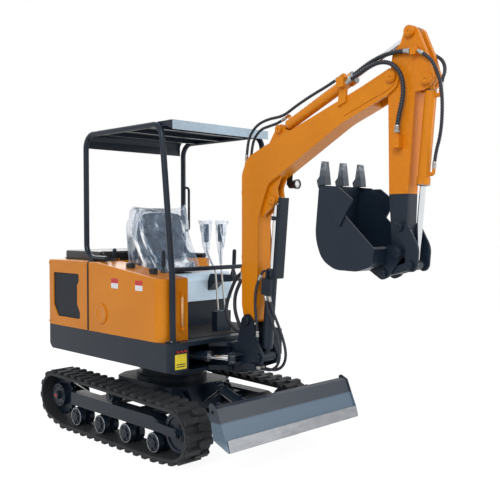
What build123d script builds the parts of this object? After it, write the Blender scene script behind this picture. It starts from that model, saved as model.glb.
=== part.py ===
from build123d import *
from math import atan2, cos, degrees, hypot, pi, radians, sin, tan
import os

# Mini excavator, in millimetres. Each shape is drawn in the machine's own frame:
# +X forward, +Y to the machine's left, +Z up, z = 0 on the ground, x = 0 on the slew axis.
# The parts are written shifted along X, so that the origin is under the middle of the whole machine.

# Running gear
TRACK_OUT = 650.0          # outer faces of the tracks from the mid plane
TRACK_WIDE = 230.0
TRACK_MID = TRACK_OUT - TRACK_WIDE / 2
BELT = 22.0                # thickness of the track's belt
LUG_TALL = 24.0
LUG_LONG = 58.0            # foot of a lug along the track
LUG_TOP = 40.0
LUG_COUNT = 42
LUG_WIDE = 118.0
SPROCKET = (-745.0, 248.0, 166.0)   # x, z and radius of the belt's inside over the sprocket
IDLER = (780.0, 225.0, 159.0)
HEEL = (-600.0, 150.0)     # x and radius where the belt comes down at the rear
TOE = (590.0, 150.0)
ROLLER_XS = (-470.0, -135.0, 200.0, 535.0)
ROLLER_R = 72.0
CARRIER = (-5.0, 44.0)     # x and radius of the upper roller
ROLLER_GAP = 0.4
AXLE_R = 22.0
BRACKET = 36.0             # width of a roller's hanger
ROLLER_WIDE = 128.0
SPROCKET_THICK = 34.0
SPROCKET_TEETH = 17
TOOTH = 20.0
HUB_R = 92.0
MOTOR_CAP_R = 34.0
BEAM_WIDE = 110.0
BEAM_LOW = 200.0
BEAM_HIGH = 300.0
SLEW_R = 260.0
SLEW_LOW = 470.0
SLEW_HIGH = 560.0

# Dozer blade
BLADE_HALF = 660.0
BLADE_PIVOT = (500.0, 235.0)
BLADE_ARM_Y = 215.0
BLADE_ARM_THICK = 24.0
BLADE_FACE = [(1268.0, 496.0), (1299.0, 420.0), (1348.0, 307.0), (1368.0, 240.0)]
BLADE_THICK = 10.0
EDGE_TALL = 78.0
EDGE_THICK = 14.0
BLADE_BACK = [(1192.0, 534.0), (1239.0, 294.0)]
TIE_HOLE_R = 14.0
BLADE_BASE = (560.0, 430.0)
BLADE_EYE = (930.0, 300.0)

# House
HOUSE_REAR = -950.0
HOUSE_FRONT = 690.0
HOUSE_HALF = 580.0
HOUSE_CORNER = 60.0
DECK_Z = 825.0
SKIRT_LOW = 625.0
FRAME_LOW = 585.0
WALL = 12.0
PANEL = 8.0
SEAM_X = -315.0
COVER_TOP = 1362.0
WINDOW_IN = 112.0
WINDOW_WIDE = 388.0
TANK_FRONT = 600.0
TANK_FRONT_TOP = 1267.0
TANK_IN = 330.0
TANK_ROUND = 70.0
HOOD_REAR = -925.0
HOOD_FRONT = -345.0
HOOD_HALF = 425.0
HOOD_LOW = COVER_TOP + 0.3
HOOD_TOP = COVER_TOP + 78.0
KNUCKLE_R = 7.0
HOOD_HINGE = (HOOD_FRONT + 10.0, COVER_TOP + 9.0)
LEFT_COVER_FRONT = -180.0
GRILLE = (250.0, 930.0, 1230.0)     # half width, bottom and top of the louvres at the back

# Driver's place
CONSOLE_FRONT = 100.0
CONSOLE_LOW = 1030.0
CONSOLE_TOP = 1256.0
CONSOLE_LEFT = 570.0
RECESS = 60.0
MAT = 6.0
LEVER_R = 7.0
GRIP_R = 20.0
STICK_FOOT = 26.0

# Canopy
HOOP_R = 22.0
HOOP_Y = 500.0
HOOP_TOP = 2365.0
REAR_LEG_X = -455.0
FRONT_LEG_X = 638.0
LEG_BEND_Z = 1290.0
FRONT_LEG_TOP_X = 520.0
HOOP_END_X = -170.0
RAIL_Z = 1335.0
RAIL_R = 16.0
ROOF_FRONT = 620.0
ROOF_HALF = 478.0
ROOF_FLANGE = 66.0
ROOF_DROP = 125.0
SHEET = 5.0
HANDLE = (1600.0, 1980.0)           # ends of the grab handle on the left rear leg
HANDLE_OUT = 78.0

# Swing post and working arm: pins as (x, z)
SWING_X = 810.0
SWING_PIN_R = 38.0
FOOT = (955.0, 975.0)
ARM_PIN = (2155.0, 2520.0)
BUCKET_PIN = (2205.0, 1488.0)
ROCKER_PIN = (2215.0, 1640.0)
LINK_PIN = (2290.0, 1415.0)
EAR_PIN = (2105.0, 1360.0)
BOOM_BASE = (1068.0, 722.0)
BOOM_EYE = (1168.0, 1820.0)
ARM_BASE = (1225.0, 2302.0)
ARM_EYE = (2270.0, 2768.0)
BUCKET_BASE = (2385.0, 2480.0)
SWING_BASE = (330.0, -300.0)       # x and y, in plan
SWING_EYE = (872.0, -145.0)
SWING_Z = 700.0
BOOM_HALF = 65.0
ARM_HALF = 50.0
PLATE = 12.0
EAR = 14.0
NECK = 62.0                # from a cylinder's base pin to the end of its barrel
FIT = 0.05                 # room around a pin or rod in its hole
SIDE_GAP = 0.4             # room at each side of an eye between its ears
LAYER_GAP = 6.0            # room between plates that swing past each other
EYE_WIDE = 44.0
PORT_LONG = 62.0           # from a cylinder's axis to its elbows
PIPE_R = 9.0
HOSE_THICK = 28.0
HOSE_SLIM = 22.0
BUCKET_HALF = 210.0
BUCKET_WALL = 12.0
TOOTH_PITCH = 180.0


def side_plane(y):
    """Plane at y whose local axes are the machine's X and Z, looking from the right."""
    return Plane(origin=(0, y, 0), x_dir=(1, 0, 0), z_dir=(0, -1, 0))


def rounded(points):
    """Closed outline through (a, b) or (a, b, radius) points, each corner with a tangent arc.

    An arc takes at most 0.48 of the shorter run beside its corner.
    """
    count = len(points)
    corners = []
    for i in range(count):
        here = Vector(*points[i][:2])
        back = Vector(*points[i - 1][:2]) - here
        ahead = Vector(*points[(i + 1) % count][:2]) - here
        radius = points[i][2] if len(points[i]) > 2 else 0
        half = radians(back.get_angle(ahead)) / 2
        radius = min(radius, 0.48 * min(back.length, ahead.length) * tan(half))
        if radius and half < radians(89.5):
            reach = radius / tan(half)
            inward = (back.normalized() + ahead.normalized()).normalized()
            middle = here + inward * (radius / sin(half) - radius)
            corners.append((here + back.normalized() * reach, middle, here + ahead.normalized() * reach))
        else:
            corners.append((here, None, here))
    edges = []
    for i in range(count):
        enter, middle, leave = corners[i]
        if middle is not None:
            edges.append(ThreePointArc(enter, middle, leave))
        after = corners[(i + 1) % count][0]
        if (after - leave).length > 1e-6:
            edges.append(Line(leave, after))
    return make_face(Wire(edges))


def plate(face, low, high):
    """A flat outline in X and Z, as a plate from y = low to y = high."""
    return extrude(side_plane(high) * face, high - low)


def profile(points, low, high):
    return plate(rounded(points), low, high)


def slab(points, low, high):
    """A plan outline in X and Y, from z = low to z = high."""
    return extrude(Pos(0, 0, low) * rounded(points), high - low)


def box(x0, x1, y0, y1, z0, z1):
    return Pos((x0 + x1) / 2, (y0 + y1) / 2, (z0 + z1) / 2) * Box(x1 - x0, y1 - y0, z1 - z0)


def rod(start, end, radius):
    start = Vector(*start)
    end = Vector(*end)
    place = Plane(origin=start, z_dir=end - start)
    return place * Cylinder(radius, (end - start).length, align=(Align.CENTER, Align.CENTER, Align.MIN))


def cross(pin, low, high, radius):
    """A round bar along Y at a pin, from y = low to y = high."""
    return rod((pin[0], low, pin[1]), (pin[0], high, pin[1]), radius)


def one(*pieces):
    """Pieces joined into one solid."""
    first, *rest = pieces
    return first.fuse(*rest).clean() if rest else first


def pipe(points, radius, bend):
    """A round bar bent through points, each corner an arc."""
    path = FilletPolyline(*points, radius=bend)
    start = path @ 0
    section = Plane(origin=start, z_dir=path % 0) * Circle(radius)
    return sweep(section, path=path)


def along_cylinder(base, eye, far, side, out):
    """A point beside a cylinder: far along it from its base pin, out from its axis, side along Y."""
    length = hypot(eye[0] - base[0], eye[1] - base[1])
    run = ((eye[0] - base[0]) / length, (eye[1] - base[1]) / length)
    return (base[0] + run[0] * far - run[1] * out, side, base[1] + run[1] * far + run[0] * out)


def hose(points, thick):
    """A hose's tube through its points, each corner with the largest arc that its runs allow."""
    radii = []
    for before, here, after in zip(points, points[1:], points[2:]):
        back = Vector(*before) - Vector(*here)
        ahead = Vector(*after) - Vector(*here)
        half_turn = radians(180 - back.get_angle(ahead)) / 2
        radii.append(0.45 * min(back.length, ahead.length) / tan(half_turn))
    print("hose", len(points), "smallest bend", round(min(radii)))
    path = FilletPolyline(*points, radius=radii)
    section = Plane(origin=path @ 0, z_dir=path % 0) * Circle(thick / 2)
    return sweep(section, path=path)


def stub(hose_end, next_point, long, radius=10.0):
    """The fitting that a hose's end sits on, reaching back from it in line with the hose."""
    end = Vector(*hose_end)
    way = (end - Vector(*next_point)).normalized()
    return rod(end, end + way * long, radius)


def cylinder_pair(base, eye, level, barrel_end, bore, rod_r, eye_r, pin_r, base_wide=EYE_WIDE, inside=60.0,
                  flat=False, ports="up"):
    """A hydraulic cylinder from its base pin to its rod's eye: the barrel and the rod.

    The barrel ends at a share of the length between the pins, and the rod reaches inside it.
    Lying flat, the pins stand upright. Its ports stand up from the barrel, and with elbows they turn
    back towards the base. With a block, one valve block on the right takes their place.
    """
    length = hypot(eye[0] - base[0], eye[1] - base[1])
    gland = length * barrel_end
    shell = bore + 7
    neck_r = EYE_WIDE / 2 - 1
    start = NECK

    def along(from_x, to_x, radius):
        return rod((from_x, 0, 0), (to_x, 0, 0), radius)

    def port(x):
        boss = rod((x, 0, 0), (x, 0, shell + 18), 12)
        if ports == "up":
            return boss
        return boss.fuse(pipe([(x, 0, shell + 4), (x, 0, PORT_LONG), (x - 32, 0, PORT_LONG)], 10, 11))

    if ports == "block":
        fittings = [box(445, 560, -50, -25, -30, 26), box(445, 560, -72, -47.5, -56, 26)]
        fittings.append(pipe([(555, -57, 0), (608, -57, 0), (608, -60, 26), (580, -64, 42)], 8, 10.5))
    else:
        fittings = [port(start + 26), port(gland - 62)]
    barrel = one(cross((0, 0), -base_wide / 2, base_wide / 2, eye_r), along(0, start + 5, neck_r),
                 along(start, gland, shell), along(gland - 42, gland, shell + 5), *fittings)
    barrel = barrel - along(start + 20, gland - 42, bore) - along(start + 20, gland + 1, rod_r + FIT)
    barrel = barrel - cross((0, 0), -base_wide / 2 - 1, base_wide / 2 + 1, pin_r)
    piston = one(cross((length, 0), -EYE_WIDE / 2, EYE_WIDE / 2, eye_r),
                 along(gland - inside, length - eye_r * 0.6, rod_r))
    turn = degrees(atan2(eye[1] - base[1], eye[0] - base[0]))
    if flat:
        place = Pos(base[0], base[1], level) * Rot(0, 0, turn) * Rot(-90, 0, 0)
    else:
        place = Pos(base[0], level, base[1]) * Rot(0, -turn, 0)
    return place * barrel, place * piston


def belt_face(out):
    """The loop of the track at a distance outside the belt's inner face."""
    ground = BELT + LUG_TALL
    rings = [
        Pos(SPROCKET[0], SPROCKET[1]) * Edge.make_circle(SPROCKET[2] + out),
        Pos(IDLER[0], IDLER[1]) * Edge.make_circle(IDLER[2] + out),
        Pos(HEEL[0], ground + HEEL[1]) * Edge.make_circle(HEEL[1] + out),
        Pos(TOE[0], ground + TOE[1]) * Edge.make_circle(TOE[1] + out),
    ]
    return make_hull(rings)


def track(side):
    """A rubber track: one closed belt with two staggered rows of lugs."""
    low = -TRACK_WIDE / 2
    high = TRACK_WIDE / 2
    belt = plate(belt_face(BELT), low, high) - plate(belt_face(0), low - 1, high + 1)
    line = belt_face(BELT).faces()[0].outer_wire()
    sunk = 3.0
    lug = rounded([(-LUG_LONG / 2, -sunk), (LUG_LONG / 2, -sunk), (LUG_TOP / 2, LUG_TALL),
                   (-LUG_TOP / 2, LUG_TALL)])
    lugs = []
    for i in range(2 * LUG_COUNT):
        share = (i + 0.5) / (2 * LUG_COUNT)
        spot = line.position_at(share)
        along = line.tangent_at(share)
        centre = Vector(SPROCKET[0] / 2 + IDLER[0] / 2, SPROCKET[1])
        outward = Vector(along.Y, -along.X)
        if outward.dot(spot - centre) < 0:
            outward = outward * -1
        row = high - 6 - LUG_WIDE if i % 2 else low + 6
        place = Plane(origin=(spot.X, row + LUG_WIDE, spot.Y), x_dir=(outward.Y, 0, -outward.X),
                      z_dir=(0, -1, 0))
        lugs.append(extrude(place * lug, LUG_WIDE))
    return Pos(0, side * TRACK_MID, 0) * belt.fuse(*lugs)


def roller(x, z, radius, middle):
    """A roller with two rims and a waist, on an axle through its hanger."""
    half = ROLLER_WIDE / 2
    pieces = []
    for sign in (-1, 1):
        inner = middle + sign * (BRACKET / 2 + 2)
        outer = middle + sign * half
        pieces.append(cross((x, z), min(inner, outer), max(inner, outer), radius))
        pieces.append(cross((x, z), min(outer, outer + sign * 10), max(outer, outer + sign * 10),
                            radius * 0.45))
    pieces.append(cross((x, z), middle - half, middle + half, AXLE_R))
    return one(*pieces)


def track_frame(side):
    """The beam inside a track, with a hanger for each roller, the idler's fork and the motor's mount."""
    y = side * TRACK_MID
    low_z = BELT + LUG_TALL + ROLLER_R + ROLLER_GAP
    half = BEAM_WIDE / 2
    rear = SPROCKET[0] + SPROCKET[2] + 19
    front = IDLER[0] - IDLER[2] - 21
    pieces = [profile([(rear, BEAM_LOW), (front, BEAM_LOW), (front, BEAM_HIGH - 30, 20),
                       (front - 80, BEAM_HIGH, 20),
                       (rear, BEAM_HIGH)], y - half, y + half)]
    for x in ROLLER_XS:
        pieces.append(profile([(x - 60, BEAM_LOW + 5), (x - AXLE_R - 12, low_z - 26, 12),
                               (x + AXLE_R + 12, low_z - 26, 12),
                               (x + 60, BEAM_LOW + 5)], y - BRACKET / 2, y + BRACKET / 2))
    top = carrier_z()
    pieces.append(box(CARRIER[0] - 30, CARRIER[0] + 30, y - BRACKET / 2, y + BRACKET / 2, BEAM_HIGH - 5,
                      top + 26))
    for sign in (-1, 1):
        inner, outer = sorted((y + sign * 46, y + sign * 60))
        pieces.append(profile([(front - 60, BEAM_LOW + 8), (IDLER[0] + 5, IDLER[1] - 34, 30),
                               (IDLER[0] + 40, IDLER[1], 18),
                               (IDLER[0] + 5, IDLER[1] + 34, 30), (front - 60, BEAM_HIGH - 32)], inner,
                               outer))
        pieces.append(box(front - 70, front - 2, *sorted((y + sign * 50, y + sign * 60)), BEAM_LOW + 12,
                          BEAM_HIGH - 44))
    plate_in, plate_out = sorted((side * (TRACK_MID - 84), side * (TRACK_MID - 68)))
    pieces.append(profile([(rear + 60, BEAM_LOW + 10), (rear + 60, BEAM_HIGH - 10),
                           (SPROCKET[0], SPROCKET[1] + 88, 80),
                           (SPROCKET[0] - 88, SPROCKET[1], 60), (SPROCKET[0], SPROCKET[1] - 88, 80)],
                           plate_in, plate_out))
    link_in, link_out = sorted((side * (TRACK_MID - 84), side * (TRACK_MID - 50)))
    pieces.append(box(rear, rear + 70, link_in, link_out, BEAM_LOW + 12, BEAM_HIGH - 12))
    frame = one(*pieces)
    for x in ROLLER_XS:
        frame -= cross((x, low_z), y - half - 40, y + half + 40, AXLE_R + ROLLER_GAP)
    frame -= cross((CARRIER[0], top), y - half - 40, y + half + 40, AXLE_R + ROLLER_GAP)
    frame -= cross((IDLER[0], IDLER[1]), y - 90, y + 90, AXLE_R + ROLLER_GAP)
    return frame


def carrier_z():
    """Height of the upper roller's axle, just under the top run of the belt."""
    lift = (SPROCKET[1] + SPROCKET[2]) - (IDLER[1] + IDLER[2])
    share = (CARRIER[0] - SPROCKET[0]) / (IDLER[0] - SPROCKET[0])
    return SPROCKET[1] + SPROCKET[2] - lift * share - CARRIER[1] - 1.5


def rollers():
    low_z = BELT + LUG_TALL + ROLLER_R + ROLLER_GAP
    found = []
    for side in (-1, 1):
        y = side * TRACK_MID
        for x in ROLLER_XS:
            found.append(roller(x, low_z, ROLLER_R, y))
        found.append(roller(CARRIER[0], carrier_z(), CARRIER[1], y))
    return found


def idlers():
    found = []
    for side in (-1, 1):
        y = side * TRACK_MID
        rim = IDLER[2] - 1.0
        wheel = one(
            cross(IDLER, y - 22, y + 22, rim),
            cross(IDLER, y - 40, y + 40, rim - 26),
            cross(IDLER, y - 45, y + 45, 48),
            cross(IDLER, y - 72, y + 72, AXLE_R))
        ring = cross(IDLER, y + 30, y + 41, rim - 44) - cross(IDLER, y + 29, y + 42, 60)
        ring = ring.fuse(cross(IDLER, y - 41, y - 30, rim - 44) - cross(IDLER, y - 42, y - 29, 60))
        found.append(wheel - ring)
    return found


def sprockets():
    """Toothed drive wheels, each dished on to its motor's hub."""
    found = []
    for side in (-1, 1):
        y = side * TRACK_MID
        wheel = cross(SPROCKET, y - SPROCKET_THICK / 2, y + SPROCKET_THICK / 2, SPROCKET[2] - TOOTH)
        teeth = []
        root = SPROCKET[2] - TOOTH
        tooth = rounded([(-17, root - 8), (17, root - 8), (8, SPROCKET[2] - 1.5, 3),
                         (-8, SPROCKET[2] - 1.5, 3)])
        for i in range(SPROCKET_TEETH):
            turn = Rot(0, 0, 360 * i / SPROCKET_TEETH)
            teeth.append(plate(Pos(SPROCKET[0], SPROCKET[1]) * turn * tooth, y - SPROCKET_THICK / 2,
                               y + SPROCKET_THICK / 2))
        wheel = wheel.fuse(*teeth)
        low, high = sorted((y + side * SPROCKET_THICK / 2, y + side * 60))
        wheel = wheel.fuse(cross(SPROCKET, low, high, HUB_R))
        low, high = sorted((y - side * SPROCKET_THICK / 2, y - side * (76 - 8.4)))
        wheel = wheel.fuse(cross(SPROCKET, low, high, HUB_R - 8))
        found.append(wheel)
    return found


def motor_caps():
    found = []
    for side in (-1, 1):
        low, high = sorted((side * (TRACK_MID + 60), side * (TRACK_MID + 86)))
        found.append(cross(SPROCKET, low, high, MOTOR_CAP_R))
    return found


def travel_motors():
    """The motors' bodies on the inner side of the track frames."""
    found = []
    for side in (-1, 1):
        near, far = sorted((side * (TRACK_MID - 84), side * (TRACK_MID - 190)))
        found.append(cross(SPROCKET, near, far, 74))
    return found


def centre_frame():
    """The box between the tracks, its legs, the blade's brackets and pins, and the slew ring's seat."""
    inner = TRACK_MID - BEAM_WIDE / 2
    pieces = [slab([(-330, -300, 60), (330, -300, 60), (420, -160, 60), (420, 160, 60), (330, 300, 60),
                    (-330, 300, 60),
                    (-420, 160, 60), (-420, -160, 60)], 250, 430)]
    pieces.append(rod((0, 0, SLEW_LOW - 45), (0, 0, SLEW_LOW), SLEW_R + 22))
    for x in (-330, 190):
        for sy in (-1, 1):
            pieces.append(box(x, x + 140, *sorted((sy * 200, sy * inner)), BEAM_LOW + 30, BEAM_HIGH - 10))
            pieces.append(profile([(x, BEAM_HIGH - 20), (x + 140, BEAM_HIGH - 20), (x + 140, 400, 8),
                                   (x, 400, 8)], *sorted((sy * 200, sy * 330))))
    for sy in (-1, 1):
        for y in (sy * (BLADE_ARM_Y + BLADE_ARM_THICK / 2 + 10),
                  sy * (BLADE_ARM_Y - BLADE_ARM_THICK / 2 - 10)):
            pieces.append(profile([(330, 262), (330, 400, 20), (430, 400, 60),
                                   (BLADE_PIVOT[0] + 42, BLADE_PIVOT[1] + 30, 40),
                                   (BLADE_PIVOT[0] + 42, BLADE_PIVOT[1] - 42, 36),
                                   (BLADE_PIVOT[0] - 60, BLADE_PIVOT[1] - 42, 36)], y - 7, y + 7))
        reach = BLADE_ARM_THICK / 2 + 22
        pieces.append(cross(BLADE_PIVOT, sy * BLADE_ARM_Y - reach, sy * BLADE_ARM_Y + reach, 18 - FIT))
        y = sy * (EYE_WIDE / 2 + SIDE_GAP + EAR / 2)
        pieces.append(profile([(380, 300), (380, 428, 10), (BLADE_BASE[0] - 20, BLADE_BASE[1] + 34, 30),
                               (BLADE_BASE[0] + 34, BLADE_BASE[1] + 10, 30),
                               (BLADE_BASE[0] + 10, BLADE_BASE[1] - 40, 30), (430, 300)], y - EAR / 2,
                               y + EAR / 2))
    pieces.append(cross(BLADE_BASE, -EYE_WIDE / 2 - EAR - 6, EYE_WIDE / 2 + EAR + 6, 16 - FIT))
    return one(*pieces)


def blade():
    """The dozer blade's folded face with its end plates, which have tie-down holes."""
    half = BLADE_HALF - 12
    top = BLADE_FACE[0]
    back = [(x - BLADE_THICK, z) for x, z in reversed(BLADE_FACE)]
    pieces = [profile(BLADE_FACE + back, -half, half)]
    pieces.append(profile([top, (top[0] - 36, top[1] + 10), (top[0] - 38, top[1]),
                           (top[0] - BLADE_THICK, top[1] - 12)], -half, half))
    for sy in (-1, 1):
        end = [(x + 8, z) for x, z in BLADE_FACE] + [BLADE_BACK[1], (*BLADE_BACK[0], 18)]
        pieces.append(profile(end, *sorted((sy * half, sy * BLADE_HALF))))
    hole = cross((BLADE_BACK[0][0] + 42, BLADE_BACK[0][1] - 64), -BLADE_HALF - 1, BLADE_HALF + 1, TIE_HOLE_R)
    return one(*pieces) - hole


def blade_arms(face):
    """The blade's two push arms, their cross bars and the cylinder's lugs, cut to the back of its face."""
    pieces = []
    for sy in (-1, 1):
        y = sy * BLADE_ARM_Y
        arm = [(BLADE_PIVOT[0] - 40, BLADE_PIVOT[1] - 40, 38),
               (BLADE_PIVOT[0] + 60, BLADE_PIVOT[1] - 40, 30), (1240, 262), (1352, 262),
               (1310, 380), (1180, 430, 60), (900, 300, 120), (BLADE_PIVOT[0] + 60, BLADE_PIVOT[1] + 42, 40),
               (BLADE_PIVOT[0] - 40, BLADE_PIVOT[1] + 40, 38)]
        pieces.append(profile(arm, y - BLADE_ARM_THICK / 2, y + BLADE_ARM_THICK / 2))
        y = sy * (EYE_WIDE / 2 + SIDE_GAP + EAR / 2)
        lug = [(BLADE_EYE[0] - 34, BLADE_EYE[1] + 4, 32), (BLADE_EYE[0], BLADE_EYE[1] + 40, 30),
               (BLADE_EYE[0] + 60, BLADE_EYE[1] + 20, 20), (1120, 330),
               (1120, 280), (BLADE_EYE[0] - 52, BLADE_EYE[1] - 80), (BLADE_EYE[0] - 52, BLADE_EYE[1] - 52)]
        pieces.append(profile(lug, y - EAR / 2, y + EAR / 2))
        pieces.append(cross(BLADE_EYE, *sorted((sy * (EYE_WIDE / 2 + SIDE_GAP + EAR),
                                                sy * (EYE_WIDE / 2 + SIDE_GAP + EAR + 14))), 24))
    pieces.append(box(BLADE_EYE[0] - 60, BLADE_EYE[0] - 36, -BLADE_ARM_Y, BLADE_ARM_Y, BLADE_EYE[1] - 84,
                      BLADE_EYE[1] - 50))
    pieces.append(box(1100, 1130, -BLADE_ARM_Y, BLADE_ARM_Y, 275, 345))
    whole = one(*pieces)
    for sy in (-1, 1):
        whole -= cross(BLADE_PIVOT, sy * BLADE_ARM_Y - 20, sy * BLADE_ARM_Y + 20, 18)
    ahead = [(x - BLADE_THICK, z) for x, z in BLADE_FACE] + [(1500, 200), (1500, 560)]
    return whole - profile(ahead, -BLADE_HALF, BLADE_HALF)


def blade_edge():
    """The cutting edge bolted to the foot of the blade's face."""
    fold, foot = BLADE_FACE[2:]
    run = hypot(foot[0] - fold[0], foot[1] - fold[1])
    down = ((foot[0] - fold[0]) / run, (foot[1] - fold[1]) / run)
    out = (-down[1] * EDGE_THICK, down[0] * EDGE_THICK)
    low = (fold[0] + down[0] * EDGE_TALL, fold[1] + down[1] * EDGE_TALL)
    half = BLADE_HALF - 12.3
    return profile([fold, low, (low[0] + out[0], low[1] + out[1]), (fold[0] + out[0], fold[1] + out[1])],
                   -half, half)


def house_frame():
    """Turntable: bottom plate, ring seat, skirts, deck, and the nose that holds the swing post."""
    outline = [(HOUSE_REAR, -HOUSE_HALF, HOUSE_CORNER), (HOUSE_FRONT, -HOUSE_HALF, 25),
               (HOUSE_FRONT, HOUSE_HALF, 25), (HOUSE_REAR, HOUSE_HALF, HOUSE_CORNER)]
    inset = [(x + (WALL if x < 0 else -WALL), y + (WALL if y < 0 else -WALL), max(r - WALL, 2)) for x, y,
             r in outline]
    shell = slab(outline, SKIRT_LOW, DECK_Z) - slab(inset, SKIRT_LOW - 1, DECK_Z - WALL)
    shell -= profile([(HOUSE_REAR - 5, SKIRT_LOW - 5), (HOUSE_REAR + 90, SKIRT_LOW - 5),
                      (HOUSE_REAR - 5, SKIRT_LOW + 80)], -HOUSE_HALF - 5, HOUSE_HALF + 5)
    shell -= box(HOUSE_FRONT - WALL - 1, HOUSE_FRONT + 1, -400, 400, SKIRT_LOW - 1, DECK_Z - 30)
    pieces = [shell, slab([(-860, -440, 60), (620, -440, 40), (620, 440, 40), (-860, 440, 60)], FRAME_LOW,
                          FRAME_LOW + 24)]
    pieces.append(box(-860, 400, -188, -172, FRAME_LOW + 20, DECK_Z - WALL + 2))
    pieces.append(box(-860, 620, 172, 188, FRAME_LOW + 20, DECK_Z - WALL + 2))
    pieces.append(rod((0, 0, SLEW_HIGH), (0, 0, FRAME_LOW + 2), SLEW_R - 12))
    for low in (FRAME_LOW, DECK_Z - 66):
        pieces.append(slab([(520, -150), (620, -150), (720, -58, 40), (SWING_X, -58), (SWING_X, 58),
                            (720, 58, 40), (620, 150), (520, 150)], low, low + 34))
        pieces.append(rod((SWING_X, 0, low), (SWING_X, 0, low + 34), 68))
    pieces.append(box(560, 600, -100, 100, FRAME_LOW + 10, DECK_Z - WALL + 2))
    pieces.append(box(560, 730, -40, 40, FRAME_LOW + 10, DECK_Z - 50))
    low_lug = SWING_Z - EYE_WIDE / 2 - SIDE_GAP
    high_lug = SWING_Z + EYE_WIDE / 2 + SIDE_GAP
    pieces.append(rod((*SWING_BASE, FRAME_LOW + 10), (*SWING_BASE, low_lug), 34))
    pieces.append(rod((*SWING_BASE, low_lug - 5), (*SWING_BASE, high_lug + 5), 16 - FIT))
    pieces.append(box(SWING_BASE[0] - 34, SWING_BASE[0] + 34, SWING_BASE[1] - 34, -180, high_lug,
                      high_lug + 16))
    frame = one(*pieces)
    frame -= rod((SWING_X, 0, FRAME_LOW - 5), (SWING_X, 0, DECK_Z), SWING_PIN_R + FIT)
    return frame


def covers():
    """Orange sheet metal at the rear: side panels with a window each, and the back."""
    z0 = DECK_Z
    outline = [(HOUSE_REAR, -HOUSE_HALF, HOUSE_CORNER), (SEAM_X - 4, -HOUSE_HALF), (SEAM_X - 4, HOUSE_HALF),
               (HOUSE_REAR, HOUSE_HALF, HOUSE_CORNER)]
    inner = [(HOUSE_REAR + PANEL, -HOUSE_HALF + PANEL, HOUSE_CORNER - PANEL),
             (SEAM_X + 20, -HOUSE_HALF + PANEL), (SEAM_X + 20, HOUSE_HALF - PANEL),
             (HOUSE_REAR + PANEL, HOUSE_HALF - PANEL, HOUSE_CORNER - PANEL)]
    shell = slab(outline, z0, COVER_TOP) - slab(inner, z0 - 1, COVER_TOP - PANEL)
    opening = slab([(HOOD_REAR + 20, -HOOD_HALF + 18, 30), (HOOD_FRONT - 20, -HOOD_HALF + 18, 30),
                    (HOOD_FRONT - 20, HOOD_HALF - 18, 30), (HOOD_REAR + 20, HOOD_HALF - 18, 30)],
                   COVER_TOP - PANEL - 2, COVER_TOP + 2)
    front = box(SEAM_X - 4 - PANEL, SEAM_X - 4, -HOUSE_HALF + PANEL - 1, HOUSE_HALF - PANEL + 1, z0,
                COVER_TOP - PANEL + 1)
    shell = one(shell - opening, front, *knuckles(COVER_TOP - 2))
    half, low, high = GRILLE
    shell -= box(HOUSE_REAR - 5, HOUSE_REAR + 30, -half, half, low, high)
    window = rounded(window_outline())
    return shell - plate(window, -HOUSE_HALF - 5, -HOUSE_HALF + 30) - plate(window, HOUSE_HALF - 30,
                                                                            HOUSE_HALF + 5)


def knuckles(foot):
    """The outer knuckles of the hood's two hinges, each with a foot down to a level."""
    found = []
    for y in (-320, 280):
        for low in (y, y + 32):
            found.append(cross(HOOD_HINGE, low, low + 15, KNUCKLE_R))
            found.append(box(HOOD_HINGE[0] - 4, HOOD_HINGE[0] + 4, low, low + 15, foot, HOOD_HINGE[1]))
    return found


def left_cover():
    """Orange cover on the left of the seat, as high as the rear covers."""
    plan = [(SEAM_X + 4, 330), (LEFT_COVER_FRONT, 330), (LEFT_COVER_FRONT, HOUSE_HALF, 30),
            (SEAM_X + 4, HOUSE_HALF)]
    return slab(plan, DECK_Z, COVER_TOP)


def window_outline():
    """The rear side window, with its cut corners."""
    left = HOUSE_REAR + WINDOW_IN
    right = left + WINDOW_WIDE
    return [(left + 70, DECK_Z + 75, 20), (right + 15, DECK_Z + 75, 20), (right + 15, DECK_Z + 130, 15),
            (right - 25, DECK_Z + 190, 15),
            (right - 25, DECK_Z + 345, 15), (right, DECK_Z + 375, 15), (right, DECK_Z + 435, 18),
            (left, DECK_Z + 435, 18), (left, DECK_Z + 165, 20)]


def window_meshes():
    """Black mesh plates that fill the windows from inside."""
    found = []
    grow = 14
    left = HOUSE_REAR + WINDOW_IN - grow
    right = HOUSE_REAR + WINDOW_IN + WINDOW_WIDE + 15 + grow
    for sy in (-1, 1):
        low, high = sorted((sy * (HOUSE_HALF - PANEL), sy * (HOUSE_HALF - PANEL - 5)))
        found.append(box(left, right, low, high, DECK_Z + 75 - grow, DECK_Z + 435 + grow))
    half, low, high = GRILLE
    grille = box(HOUSE_REAR + 2, HOUSE_REAR + 7, -half, half, low, high)
    step = (high - low) / 9
    slat = [(5, 12), (5, 16), (-6, 5), (-6, 1)]
    for i in range(1, 9):
        z = low + i * step
        grille -= box(HOUSE_REAR + 1, HOUSE_REAR + 8, -half + 24, half - 24, z, z + 12)
        grille = grille.fuse(profile([(HOUSE_REAR + x, z + dz) for x, dz in slat], -half + 20, half - 20))
    return found + [grille]


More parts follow.
